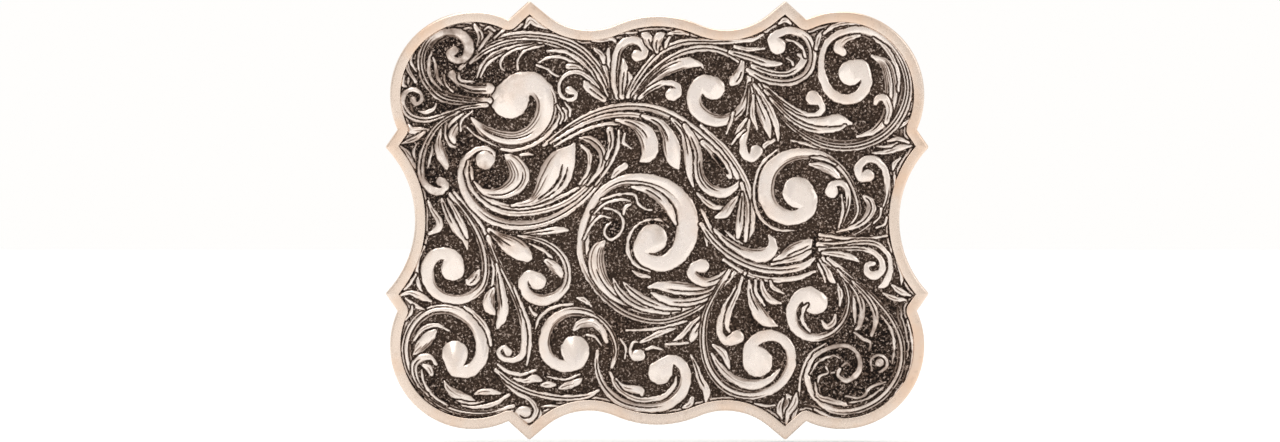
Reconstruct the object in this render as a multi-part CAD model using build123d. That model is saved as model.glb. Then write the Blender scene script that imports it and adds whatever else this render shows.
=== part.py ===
from build123d import *

import os
from math import acos, asin, atan2, cos, radians, sin, sqrt, tan

# Western style belt buckle: a curved, scalloped plate with an engraved face, a hinged belt
# loop and a hook peg on its back.
#
# Millimetres. +X is the wearer's left (a viewer's right), +Z is up, -Y is the way the face looks.
# The origin is the middle of the base plate's back face, where the buckle lies on the belt.

os.makedirs("parts", exist_ok=True)

# --- plate -----------------------------------------------------------------------------------
R_BACK = 160.0  # radius of the back face about an upright axis behind the buckle
BASE_T = 1.3  # base plate
RIM_T = 1.2  # rim, on the base plate
PANEL_T = 0.8  # engraved sheet, on the base plate inside the rim
RIM_W = 1.45  # width of the rim
BASE_INSET = 0.25  # the base plate stops this far inside the rim's edge
PANEL_GAP = 0.05  # seam between the rim and the engraved sheet

# --- outline, one quarter (right and top): arcs from the crown to the waist ---------------------
CROWN_Z, CROWN_R = 27.85, 14.4  # top of the crown, and the radius over it
VALLEY_X, VALLEY_R = 9.3, 9.1  # the hollow beside the crown
VALLEY_RISE_DEG = 39.5  # it ends at this slope, and runs on straight to the cusp
TOP_CUSP_X = 17.45
LOBE_X, LOBE_Z, LOBE_R = 25.2, 17.15, 11.35  # round corner
TOP_NOTCH_X = 20.3
SIDE_NOTCH_Z = 12.4
SIDE_CUSP = (37.2, 10.0)
WAIST_X = 33.1
TIP_ROUND = 0.35  # rounding of the cusps

# --- belt loop and its hinge -------------------------------------------------------------------
HINGE_X, HINGE_Y = 16.5, 5.2  # upright hinge axis behind the plate
ROD_R = 1.2
KNUCKLE_R = 2.4
KNUCKLE_BORE_R = ROD_R + 0.05
KNUCKLE_L = 3.6
WIRE_R = 1.4  # belt loop wire
LOOP_REACH = 14.87  # hinge axis to the middle of the outer bar
LOOP_HALF = 22.2  # middle of the loop to the middle of each arm
LOOP_BEND_R = 3.0  # bend of the wire's middle line
LOOP_REST_DEG = 12.8  # the loop stands off the plate by this much at rest
LUG_GAP = 0.15  # knuckle to lug
LUG_T = 1.85
LUG_R = 2.7
FOOT_T = 1.0
FOOT_X = (12.3, 20.7)
FOOT_Z0 = 20.4
WASHER_R, WASHER_T = 2.3, 0.5
HEAD_R, HEAD_T = 1.9, 0.75

# --- hook peg ----------------------------------------------------------------------------------
PEG_X = -25.3
PEG_R = 1.7  # enters the belt's 4 mm holes
PEG_L = 5.0  # straight part above the pad
PEG_LEAN_DEG = 16.0  # from straight back towards the hinge, so the belt's pull seats it
PAD_R, PAD_T = 4.0, 1.1
TENON_R = 1.15  # the peg's shoulder stands on the pad, and its tenon is riveted through it

BEHIND = 60.0  # long enough to cut through everything


def back_y(x):
    """The plate's back face at x."""
    return R_BACK - sqrt(R_BACK**2 - x**2)


def tube_segment(r_in, r_out):
    """Part of a big upright tube, between two radii about the plate's axis of curvature."""
    axis = Pos(0, R_BACK, 0)
    ring = Circle(r_out) - Circle(r_in)
    return axis * Pos(0, 0, -BEHIND) * extrude(ring, 2 * BEHIND)


def quarter(right, top):
    """One quarter of the scalloped edge, from the crown to the waist; right and top are 1 or -1."""

    def at(x, z):
        return (right * x, top * z)

    # the crown's circle and the valley's touch at a point on the line between their centres
    crown_z = CROWN_Z - CROWN_R
    valley_z = crown_z + sqrt((CROWN_R + VALLEY_R) ** 2 - VALLEY_X**2)
    lean = atan2(VALLEY_X, valley_z - crown_z)
    rise = radians(VALLEY_RISE_DEG)

    crown = [at(CROWN_R * sin(t), crown_z + CROWN_R * cos(t)) for t in (0, lean / 2, lean)]
    valley = [at(VALLEY_X + VALLEY_R * sin(t), valley_z - VALLEY_R * cos(t)) for t in (-lean, 0, rise)]
    end_x, end_z = VALLEY_X + VALLEY_R * sin(rise), valley_z - VALLEY_R * cos(rise)
    cusp = at(TOP_CUSP_X, end_z + (TOP_CUSP_X - end_x) * tan(rise))
    lobe_start = acos((TOP_NOTCH_X - LOBE_X) / LOBE_R)
    lobe_end = asin((SIDE_NOTCH_Z - LOBE_Z) / LOBE_R)
    lobe = [at(LOBE_X + LOBE_R * cos(t), LOBE_Z + LOBE_R * sin(t))
            for t in (lobe_start, (lobe_start + lobe_end) / 2, lobe_end)]
    # the side is one arc from cusp to cusp, upright at the waist
    depth, reach = SIDE_CUSP[0] - WAIST_X, SIDE_CUSP[1]
    side_r = (depth**2 + reach**2) / (2 * depth)
    half_z = reach / 2
    side = [at(*SIDE_CUSP), at(WAIST_X + side_r - sqrt(side_r**2 - half_z**2), half_z), at(WAIST_X, 0)]
    return [
        ThreePointArc(*crown),
        ThreePointArc(*valley),
        Line(valley[-1], cusp),
        Line(cusp, lobe[0]),
        ThreePointArc(*lobe),
        Line(lobe[-1], side[0]),
        ThreePointArc(*side),
    ]


def outline():
    """The buckle's scalloped edge, as a face in the XY plane."""
    whole = [edge for right in (1, -1) for top in (1, -1) for edge in quarter(right, top)]
    face = make_face(whole)
    tips = [v for v in face.vertices()
            if abs(abs(v.X) - TOP_CUSP_X) < 0.01 or abs(abs(v.X) - SIDE_CUSP[0]) < 0.01]
    return fillet(tips, TIP_ROUND)


def upright(flat):
    """A drawing in XY, stood up in the plate's XZ plane and made a block that runs through it."""
    block = Pos(0, 0, -BEHIND) * extrude(flat, 2 * BEHIND)
    return Rot(90, 0, 0) * block


def solid_of(shape):
    """The one solid in a result that must have just one."""
    found = shape.solids()
    assert len(found) == 1, len(found)
    return found[0]


edge = outline()
inner = offset(edge, -RIM_W)
seam = offset(edge, -(RIM_W + PANEL_GAP))
under = offset(edge, -BASE_INSET)

r_base = R_BACK + BASE_T
front_half = Pos(0, -BEHIND / 2 + 20, 0) * Box(100, BEHIND, 100)

base_plate = solid_of(upright(under) & tube_segment(R_BACK, r_base) & front_half)
engraved_panel = solid_of(upright(seam) & tube_segment(r_base, r_base + PANEL_T) & front_half)
rim_border = solid_of(upright(edge - inner) & tube_segment(r_base, r_base + RIM_T) & front_half)

# --- hinge lugs: an ear on a foot, brazed to the back of the plate -------------------------------
knuckle_z0 = LOOP_HALF - KNUCKLE_L / 2
lug_z0 = LOOP_HALF + KNUCKLE_L / 2 + LUG_GAP
lug_z1 = lug_z0 + LUG_T
plate_and_front = Pos(0, R_BACK, 0) * (Cylinder(R_BACK + 60, 200) - Cylinder(R_BACK, 200))


def rod(r, z0, z1):
    """A round bar on the hinge axis."""
    return Pos(HINGE_X, HINGE_Y, (z0 + z1) / 2) * Cylinder(r, z1 - z0)


def lug():
    ear = rod(LUG_R, lug_z0, lug_z1)
    ear += Pos(HINGE_X, HINGE_Y / 2, (lug_z0 + lug_z1) / 2) * Box(2 * LUG_R, HINGE_Y, LUG_T)
    foot_y1 = back_y(HINGE_X) + FOOT_T
    width, depth = FOOT_X[1] - FOOT_X[0], lug_z1 - FOOT_Z0
    foot = Pos((FOOT_X[0] + FOOT_X[1]) / 2, foot_y1 / 2, (FOOT_Z0 + lug_z1) / 2) * Box(width, foot_y1, depth)
    corners = foot.edges().filter_by(Axis.Y).sort_by(Axis.Z)[:2]
    foot = fillet(corners, 1.2)
    return solid_of((ear + foot) - plate_and_front - rod(ROD_R, 0, 40))


hinge_lug_upper = lug()
hinge_lug_lower = mirror(hinge_lug_upper, Plane.XY)

# --- hinge rod with peened heads, and the washers under them -------------------------------------
washer_z1 = lug_z1 + WASHER_T
half_rod = rod(ROD_R, 0, washer_z1) + fillet(
    rod(HEAD_R, washer_z1, washer_z1 + HEAD_T).edges().filter_by(GeomType.CIRCLE).sort_by(Axis.Z)[-1], 0.55)
hinge_rod = solid_of(half_rod + mirror(half_rod, Plane.XY))
washer = rod(WASHER_R, lug_z1, washer_z1)
washer = chamfer(washer.edges().filter_by(GeomType.CIRCLE).sort_by(Axis.Z)[-1], 0.15)
hinge_washer_upper = solid_of(washer - rod(ROD_R, 0, 40))
hinge_washer_lower = mirror(hinge_washer_upper, Plane.XY)

# --- belt loop: a bent wire whose ends are brazed to two knuckles --------------------------------
knuckle = rod(KNUCKLE_R, knuckle_z0, knuckle_z0 + KNUCKLE_L)
knuckle = fillet(knuckle.edges().filter_by(GeomType.CIRCLE), 0.3)
bail_knuckle_upper = solid_of(knuckle - rod(KNUCKLE_BORE_R, 0, 40))
bail_knuckle_lower = mirror(bail_knuckle_upper, Plane.XY)

bend = LOOP_REACH - LOOP_BEND_R
straight = LOOP_HALF - LOOP_BEND_R
s = LOOP_BEND_R * (1 - sin(radians(45)))
path = Wire([
    Line((0, 0, LOOP_HALF), (bend, 0, LOOP_HALF)),
    ThreePointArc((bend, 0, LOOP_HALF), (LOOP_REACH - s, 0, LOOP_HALF - s), (LOOP_REACH, 0, straight)),
    Line((LOOP_REACH, 0, straight), (LOOP_REACH, 0, -straight)),
    ThreePointArc((LOOP_REACH, 0, -straight), (LOOP_REACH - s, 0, -LOOP_HALF + s), (bend, 0, -LOOP_HALF)),
    Line((bend, 0, -LOOP_HALF), (0, 0, -LOOP_HALF)),
])
section = Plane(origin=(0, 0, LOOP_HALF), z_dir=(1, 0, 0)) * Circle(WIRE_R)
wire = Pos(HINGE_X, HINGE_Y, 0) * Rot(0, 0, LOOP_REST_DEG) * sweep(section, path)
bail_loop = solid_of(wire - rod(KNUCKLE_R, -40, 40))

# --- hook peg on its pad -------------------------------------------------------------------------
root = (PEG_X, back_y(PEG_X), 0)
lean = Plane(origin=root, z_dir=(sin(radians(PEG_LEAN_DEG)), cos(radians(PEG_LEAN_DEG)), 0))
peg = Pos(0, 0, PAD_T + PEG_L / 2) * Cylinder(PEG_R, PEG_L)
peg += Pos(0, 0, PAD_T + PEG_L) * (Sphere(PEG_R) & Pos(0, 0, PEG_R) * Box(9, 9, 2 * PEG_R))
peg += Cylinder(TENON_R, 2 * PAD_T)
pad = Pos(0, 0, (PAD_T - 3) / 2) * Cylinder(PAD_R, PAD_T + 3)
pad = fillet(pad.edges().filter_by(GeomType.CIRCLE).sort_by(Axis.Z)[-1], 0.25)
pad -= Cylinder(TENON_R, 20)
hook_peg = solid_of(lean * peg - plate_and_front)
hook_pad = solid_of(lean * pad - plate_and_front)

parts = {
    "base_plate": base_plate,
    "rim_border": rim_border,
    "engraved_panel": engraved_panel,
    "hinge_lug_upper": hinge_lug_upper,
    "hinge_lug_lower": hinge_lug_lower,
    "hinge_rod": hinge_rod,
    "hinge_washer_upper": hinge_washer_upper,
    "hinge_washer_lower": hinge_washer_lower,
    "bail_loop": bail_loop,
    "bail_knuckle_upper": bail_knuckle_upper,
    "bail_knuckle_lower": bail_knuckle_lower,
    "hook_pad": hook_pad,
    "hook_peg": hook_peg,
}
for name, shape in parts.items():
    export_step(shape, f"parts/{name}.step")
    box = shape.bounding_box()
    print(name, round(shape.volume, 2), [round(v, 2) for v in (*box.min, *box.max)])
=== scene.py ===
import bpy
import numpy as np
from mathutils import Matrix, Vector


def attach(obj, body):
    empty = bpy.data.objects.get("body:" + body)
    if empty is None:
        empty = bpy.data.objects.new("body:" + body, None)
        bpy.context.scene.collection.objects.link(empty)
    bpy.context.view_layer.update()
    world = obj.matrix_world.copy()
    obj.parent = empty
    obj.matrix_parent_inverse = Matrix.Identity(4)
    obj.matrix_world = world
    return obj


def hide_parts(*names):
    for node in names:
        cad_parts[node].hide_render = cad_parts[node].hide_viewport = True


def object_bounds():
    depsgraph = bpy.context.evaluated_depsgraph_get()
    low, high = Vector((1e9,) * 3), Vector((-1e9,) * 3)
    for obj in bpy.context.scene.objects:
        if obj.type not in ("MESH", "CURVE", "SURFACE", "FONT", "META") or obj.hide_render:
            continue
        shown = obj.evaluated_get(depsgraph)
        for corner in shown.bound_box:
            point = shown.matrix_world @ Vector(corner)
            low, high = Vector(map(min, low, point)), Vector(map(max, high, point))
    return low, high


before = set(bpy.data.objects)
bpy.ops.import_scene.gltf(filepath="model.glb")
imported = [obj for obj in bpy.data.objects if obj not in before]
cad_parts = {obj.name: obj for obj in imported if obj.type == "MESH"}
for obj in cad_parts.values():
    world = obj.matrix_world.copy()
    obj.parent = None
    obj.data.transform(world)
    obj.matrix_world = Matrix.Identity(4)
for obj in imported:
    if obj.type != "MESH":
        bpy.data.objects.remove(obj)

# A western belt buckle: the imported plate and fittings, with an engraved scroll face and a rounded rim.
# Everything is in metres in the model's frame: +X to the viewer's right, +Z up, -Y the way the face looks.
# The engraving is drawn in millimetres on the face. Later forms are cut over earlier ones.

MM = 0.001
cad_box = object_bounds()


# --- shader nodes ------------------------------------------------------------------------------------
class Wiring:
    """Short ways to make and join the nodes of one tree."""

    def __init__(self, tree, coordinates):
        self.tree = tree
        self.coord = self.node("ShaderNodeTexCoord").outputs[coordinates]

    def node(self, kind, **inputs):
        made = self.tree.nodes.new(kind)
        for key, value in inputs.items():
            self.put(made.inputs[key], value)
        return made

    def put(self, socket, value):
        if isinstance(value, bpy.types.NodeSocket):
            self.tree.links.new(value, socket)
        else:
            socket.default_value = value

    def math(self, operation, a, b=0.0, clamp=False):
        made = self.tree.nodes.new("ShaderNodeMath")
        made.operation, made.use_clamp = operation, clamp
        self.put(made.inputs[0], a)
        self.put(made.inputs[1], b)
        return made.outputs[0]

    def vector(self, operation, a, b, output):
        made = self.tree.nodes.new("ShaderNodeVectorMath")
        made.operation = operation
        self.put(made.inputs[0], a)
        self.put(made.inputs[1], b)
        return made.outputs[output]

    def spread(self, value, low, high, to_low=0.0, to_high=1.0):
        made = self.tree.nodes.new("ShaderNodeMapRange")
        for socket, v in zip(made.inputs, (value, low, high, to_low, to_high)):
            self.put(socket, v)
        return made.outputs[0]

    def stops(self, value, *stops):
        made = self.node("ShaderNodeValToRGB", Fac=value)
        elements = made.color_ramp.elements
        while len(elements) < len(stops):
            elements.new(0.5)
        for element, (place, colour) in zip(elements, stops):
            element.position, element.color = place, (*colour, 1.0)
        return made.outputs["Color"]

    def mix(self, share, a, b, kind="MIX"):
        made = self.tree.nodes.new("ShaderNodeMix")
        made.data_type, made.blend_type = "RGBA", kind
        self.put(made.inputs[0], share)
        for socket, value in ((made.inputs[6], a), (made.inputs[7], b)):
            self.put(socket, (*value, 1.0) if isinstance(value, tuple) else value)
        return made.outputs[2]


def add_object(name, data):
    made = bpy.data.objects.new(name, data)
    bpy.context.scene.collection.objects.link(made)
    return made


# --- camera and light --------------------------------------------------------------------------------
FRAME_W = 174.7  # millimetres of the buckle's plane across the picture
CAMERA_Y = -900.0
LOOK_X, LOOK_Z = -2.35, -0.1  # the buckle sits a little right of the picture's middle
SENSOR = 36.0


def add_camera():
    data = bpy.data.cameras.new("camera")
    data.sensor_width = SENSOR
    data.lens = SENSOR * -CAMERA_Y / FRAME_W
    data.clip_start, data.clip_end = 0.01, 20.0
    camera = add_object("camera", data)
    camera.location = (LOOK_X * MM, CAMERA_Y * MM, LOOK_Z * MM)
    camera.rotation_euler = (np.pi / 2, 0.0, 0.0)
    bpy.context.scene.camera = camera


def add_world():
    """A white studio, darker to the sides, cooler ahead of the face, and dimmer ahead on the right."""
    world = bpy.data.worlds.new("studio")
    world.use_nodes = True
    sky = Wiring(world.node_tree, "Generated")
    background = sky.tree.nodes["Background"]
    ahead = sky.vector("DOT_PRODUCT", sky.coord, (0.0, -1.0, 0.0), "Value")
    colour = sky.stops(ahead, (0.0, (1.0, 0.99, 0.975)), (0.1, (0.75, 0.74, 0.72)), (0.5, (0.42, 0.4, 0.38)),
                       (0.76, (0.86, 0.83, 0.8)), (0.95, (0.97, 0.93, 0.89)), (1.0, (0.74, 0.75, 0.79)))
    across = sky.node("ShaderNodeSeparateXYZ", Vector=sky.coord).outputs["X"]
    dimming = sky.math("MULTIPLY", sky.spread(across, -0.1, 0.5, 0.0, 0.22), sky.spread(ahead, 0.2, 0.5))
    sky.put(background.inputs["Color"], colour)
    sky.put(background.inputs["Strength"], sky.math("SUBTRACT", 1.0, dimming))
    bpy.context.scene.world = world


def add_light(name, place, size, watts):
    data = bpy.data.lights.new(name, "AREA")
    data.size, data.energy = size, watts
    lamp = add_object(name, data)
    lamp.location = place
    lamp.rotation_euler = (-Vector(place)).to_track_quat("-Z", "Y").to_euler()


def add_sun():
    """Soft light from straight above, mostly for the floor."""
    data = bpy.data.lights.new("overhead", "SUN")
    data.energy, data.angle = 1.3, 0.9
    add_object("overhead", data).location = (0.0, 0.0, 1.0)


add_camera()
add_world()
add_light("key", (-0.5, -0.6, 0.7), 0.5, 2.2)
add_light("side", (0.7, -0.4, 0.3), 0.4, 0.8)
add_sun()
bpy.context.scene.view_settings.view_transform = "Standard"


# --- the engraving, as forms -------------------------------------------------------------------------
class Form:
    """One raised form of the engraving.

    The numbers are x, z and half width at each point of its middle line. A cut is (across at its start,
    across at its end, start, end): across runs from -1 to 1 over the width, start and end from 0 to 1 along
    the form. lines adds that many cuts side by side, which end at until.
    """

    def __init__(self, *points, lines=0, until=0.72, cuts=(), dark=False):
        self.points = np.array(points, float).reshape(-1, 3)
        self.dark = dark  # cut into the forms under it, and not raised
        self.cuts = list(cuts)
        for k in range(lines):
            across = 0.0 if lines == 1 else -0.5 + k / (lines - 1)
            self.cuts.append((across, across, 0.02, until))


TOP_LEFT = [
    # long arches from the corner to the palette of leaves at the top
    Form(-26.9, 20.7, .25, -25, 22.8, .35, -22, 24.6, .4, -18.5, 25.3, .45, -14.5, 25, .4, -10.8, 23.7, .35,
         -8.2, 21.2, .35, -6.7, 18.5, .35, -6.1, 16.6, .3, lines=1, until=.95),
    Form(-25.5, 21.5, .25, -23, 23.3, .3, -19.5, 24.4, .3, -15, 24.2, .3, -11.2, 22.7, .3, -8.6, 20.2, .3,
         -6.9, 17, .25, lines=1, until=.9),
    Form(-24.6, 19.5, .12, -24, 21, .2, -22.3, 22.6, .3, -19.7, 23.6, .2, -16.8, 24.1, .15),
    Form(-24.1, 19.5, .1, -23.4, 21, .14, -22.2, 22, .14, -20.6, 22.9, .1),
    Form(-16.5, 23.9, .12, -19.5, 23.2, .14, -21.2, 22, .14, -21.3, 20.9, .14, -20.8, 20.4, .1),
    Form(-15.5, 23.8, .12, -18, 23.1, .14, -19, 21.8, .14, -19, 20.4, .14),
    Form(-15, 23.1, .12, -12.5, 22.9, .2, -10, 21.2, .25, -8.2, 18.6, .25, -7.2, 16.6, .2),
    Form(-16.4, 21.3, .1, -15, 22.1, .14, -13, 22.2, .16, -10.6, 20.9, .2, -8.8, 19, .2, -7.6, 16.8, .15),
    Form(-16.4, 21.1, .1, -15, 20.6, .14, -14, 19.8, .14, -12.9, 19.5, .1),
    Form(-12.2, 20.9, .3, -11, 20.9, .3, -9.8, 20.2, .15),
    # small scroll under the arches
    Form(-7.4, 16.5, .25, -8.6, 18.7, .25, -10.3, 20, .25, -12, 20.1, .22, -13.2, 19, .2, -13.3, 17.5, .2,
         -12.5, 16.5, .22, -11.4, 16.5, .25, -11.1, 17.3, .25, -12, 17.7, .5),
    Form(-7.2, 16.4, .3, -8.5, 17.4, .55, -9.5, 18.2, .5, -9.9, 18.9, .15, lines=1),
    # big solid scroll
    Form(-25.3, 13.9, .15, -23.6, 12.2, .7, -21.5, 11.2, 1.05, -19.2, 11, 1.1, -17, 11.9, 1.2,
         -15.4, 14, 1.35, -15.2, 16.6, 1.4, -16.7, 18.5, 1.5, -18.9, 18.3, 1.8, -20.1, 16.4, 2.5,
         cuts=[(.25, .05, .08, .5), (-.75, -.75, .1, .75)]),
    Form(-22.6, 10.1, .12, -20, 9.5, .16, -17.3, 10.1, .2, -15, 11.6, .2, -13.5, 13.6, .2, -13.2, 15.6, .1),
    # corner scroll with its stem
    Form(-22.9, 16.3, .4, -26, 16.3, .6, -29.3, 17, .8, -31.4, 19.3, .85, -32, 22, .75, -31.1, 24.4, .65,
         -29.2, 25.6, .55, -27.2, 25.5, .6, -25.9, 24.3, .7, -25.8, 22.9, .65, -26.6, 21.9, .45,
         -27.8, 21.9, .4, -28.4, 22.7, .45, -27.7, 23.2, .55, lines=3, until=.62),
    Form(-29.4, 17.7, .1, -30.9, 19.4, .2, -31.2, 21.4, .25, -30.8, 23, .1),
    Form(-28.4, 17.8, .1, -29.9, 19.3, .2, -30.3, 21.2, .22, -30.6, 22.2, .1),
    Form(-27.9, 17.5, .1, -28.9, 18.7, .14, -29.1, 19.9, .1),
    Form(-23, 18, .75, -25.5, 18.1, .65, -27.3, 18.9, .35, -28, 19.9, .55, lines=2),
    Form(-25, 18.9, .1, -26.8, 19.1, .14, -27.1, 20.1, .12),
    Form(-33, 19, .2, -34, 20.6, .25, -34.2, 22.2, .22, -33.4, 23.7, .1),
    Form(-32.9, 20.3, .1, -33.7, 21.8, .16, -33.3, 23.1, .1),
    Form(-34.6, 19.8, .1, -34.8, 18.6, .18, -34.2, 18.2, .1),
    Form(-28.5, 26.5, .12, -26.8, 27.1, .2, -25.1, 26.9, .25, -24.3, 25.6, .25, -24.6, 24, .2),
    Form(-24.4, 23.8, .25, -24.1, 25.2, .4, -24.9, 26.6, .2, lines=1),
    Form(-24.4, 23.2, .12, -23.2, 24.8, .2, -22.6, 25.6, .15, -23.4, 26.1, .12),
    Form(-22.2, 25.9, .12, -23, 26.4, .14, -23.6, 26, .1),
    Form(-22.2, 24.9, .12, -21, 25.9, .16, -20.4, 26.5, .1),
    # small scroll at the left edge
    Form(-23.3, 15.7, .25, -26, 15.4, .25, -29, 14.4, .3, -31.6, 13.7, .35, -33.8, 14.3, .4, -34.8, 15.9, .4,
         -34.6, 17.2, .35, -33.5, 17.9, .3, -32.4, 17.4, .25, -32.2, 16.5, .25, -32.9, 15.9, .25,
         -33.4, 16.5, .4, lines=1, until=.7),
    Form(-30.2, 15.9, .12, -30.6, 15.2, .2, -31.6, 14.7, .2, -32.6, 14.9, .1),
    # leaves down to the left cusp
    Form(-31, 12.3, .12, -32.4, 12.3, .4, -33.6, 12.3, .5, -34, 13, .2),
    Form(-34.9, 10.5, .1, -33.2, 11.1, .35, -31.8, 12, .15),
    Form(-35.1, 10.1, .1, -34.3, 9.4, .25, -33.6, 8.4, .4, -33.1, 7.2, .2),
    Form(-32.9, 10.4, .1, -33.3, 9.3, .2, -33, 8.2, .1),
    # cusp leaf
    Form(-18, 26.3, .1, -17.3, 27.3, .45, -16.2, 26.6, .3, -15, 26.1, .1),
]

TOP_MIDDLE = [
    # leaves that spread from the top of the arch
    Form(-6.1, 16.6, .2, -6.5, 19, .25, -7.4, 21.5, .25, -8.2, 23.4, .2),
    Form(-5.9, 16.8, .2, -6.2, 20, .25, -6.7, 22.3, .25, -6.6, 23.4, .12),
    Form(-8.5, 23.3, .2, -7.5, 22.5, .3, -7.3, 21.5, .2),
    Form(-8.9, 24.5, .1, -7.6, 24.5, .25, -6.2, 24.7, .25, -5.6, 24.2, .1),
    Form(-5.4, 16.7, .3, -5.8, 19, .45, -5.7, 21.3, .5, -5.3, 23.2, .55, -4.2, 24.3, .6, -2.8, 24.4, .55,
         -1.8, 23.6, .5, -1.8, 22.5, .42, -2.8, 22.4, .75, cuts=[(-.5, -.4, .05, .6)]),
    Form(-4.8, 16.8, .35, -4.7, 18.8, .45, -4.5, 20.4, .5, -4.6, 21.9, .15, lines=1),
    Form(-4.1, 17.3, .2, -3.6, 19, .3, -3.9, 20.2, .1),
    # right hand arches
    Form(-4, 16.8, .25, -3, 18.9, .3, -1, 21.6, .35, 1, 23.3, .4, 4, 24.3, .4, 7.5, 24.3, .35,
         10.5, 24.4, .3, 13, 24.6, .25, 14.4, 25.3, .12, lines=1, until=.85),
    Form(-3.3, 16.9, .25, -1.3, 19.6, .3, 1.5, 21.9, .35, 4.5, 23.2, .4, 7.8, 23.3, .4, 10.7, 22.1, .35,
         12.6, 19.9, .3, 13, 18.6, .2, lines=1, until=.9),
    Form(-3, 16.7, .2, -1, 18.8, .35, 1.4, 20.5, .7, 3.9, 21.4, .75, 5.8, 21.2, .3, 6.2, 20.8, .1,
         cuts=[(.1, .1, .02, .6), (.55, .5, .02, .75)]),
    Form(-2.4, 16.6, .2, -1, 17.8, .3, 1, 18.7, .35, 2.6, 18.4, .4, 2.9, 17.4, .4, 2, 17.1, .85,
         cuts=[(-.2, -.2, .05, .5)]),
    Form(-.1, 22.9, .15, -.9, 23.8, .4, -1.3, 24.9, .6, -1.9, 25.3, .25, lines=1),
    Form(0, 22.9, .15, -.1, 24.1, .5, .3, 25, .55, .9, 25.4, .15, cuts=[(.2, 0, .05, .6)]),
    Form(1.1, 23.5, .12, 1.3, 24.3, .2, 1.8, 25.1, .12),
    Form(1.5, 25.4, .15, 2.9, 25.6, .3, 4.2, 25.3, .1),
    Form(-5.2, 25.4, .08, -3.9, 25.5, .14, -2.8, 25.6, .08),
    # scroll right of the middle
    Form(12.6, 20, .25, 12.3, 17.5, .35, 11.3, 15.1, .55, 9.3, 13.7, .7, 7, 13.9, .9, 5.3, 15.3, 1,
         5.1, 17.2, 1, 6.1, 18.7, 1, 7.6, 18, 1.55, cuts=[(-.3, -.3, .05, .3), (.5, .4, .25, .45)]),
    Form(11.6, 21.6, .2, 11.4, 20.6, .45, 10.9, 19.5, .75, 10.3, 18.8, .5, cuts=[(.3, .4, .4, .9)]),
    # the great arch over the middle
    Form(6, 12.8, .2, 9, 10, .3, 11, 7.3, .3, 12.4, 4.5, .35, 12.9, 1.5, .4, 12.9, -1, .35, 12.3, -2.8, .15),
    Form(-15.5, 10.2, .2, -11.5, 13.1, .3, -8, 14.8, .4, -4.5, 15.5, .45, -1, 15.3, .5, 2, 14.2, .6,
         5, 12.3, .55, 8, 9.6, .5, 10.3, 6.8, .35, 11, 5.6, .15, lines=1, until=.95),
    Form(-14.5, 10.5, .12, -11.5, 12.4, .2, -8, 13.9, .25, -4.5, 14.4, .3, -1.2, 14, .3, 1.6, 12.6, .25,
         3.2, 10.4, .2, 3.6, 8, .1),
    Form(-14, 10.1, .1, -10.8, 11.9, .18, -8, 12.9, .2, -5.4, 13.2, .2, -3.6, 12.7, .1),
    Form(-5.5, 13.6, .2, -3.3, 13.1, .55, -1.6, 11.8, 1.1, -1, 10, 1.15, -1.3, 8.7, .8, -2.3, 8.1, .15,
         cuts=[(.1, -.1, .1, .62)]),
    Form(-2, 14.2, .2, .2, 13.3, .5, 1.5, 11.6, .85, 2, 9.6, 1.15, 2.3, 8.2, .85, 2.9, 7, .12,
         cuts=[(-.1, -.3, .1, .62)]),
    Form(2, 13.8, .2, 3.5, 12, .35, 4.1, 9.5, .5, 4.3, 7.5, .5, 4.5, 5.8, .3, 4.9, 4.6, .1, lines=1,
         until=.6),
    Form(3.7, 13, .25, 4.9, 11, .45, 5.6, 9, .5, 5.6, 7.2, .55, 6, 5.5, .7, 7.2, 4.2, .75, 8.9, 3.7, .65,
         10.4, 4.3, .4, 11.1, 5.2, .12, cuts=[(-.3, -.2, .1, .7), (.3, .3, .35, .8)]),
    Form(6.2, 10.6, .3, 7.6, 9.2, .45, 9.1, 7.4, .5, 9.9, 5.9, .3),
    Form(7.7, 9, .2, 8.8, 7.6, .3, 9.5, 6.4, .2, dark=True),
    Form(-12.9, 15.3, .1, -12.3, 14.6, .25, -12.6, 13.6, .2),
    Form(-13.6, 15.7, .08, -12.9, 14.3, .12, -13.2, 13.2, .1),
    Form(-12.6, 16.1, .08, -11.9, 15.1, .14, -11.9, 14.2, .1),
]

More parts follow.
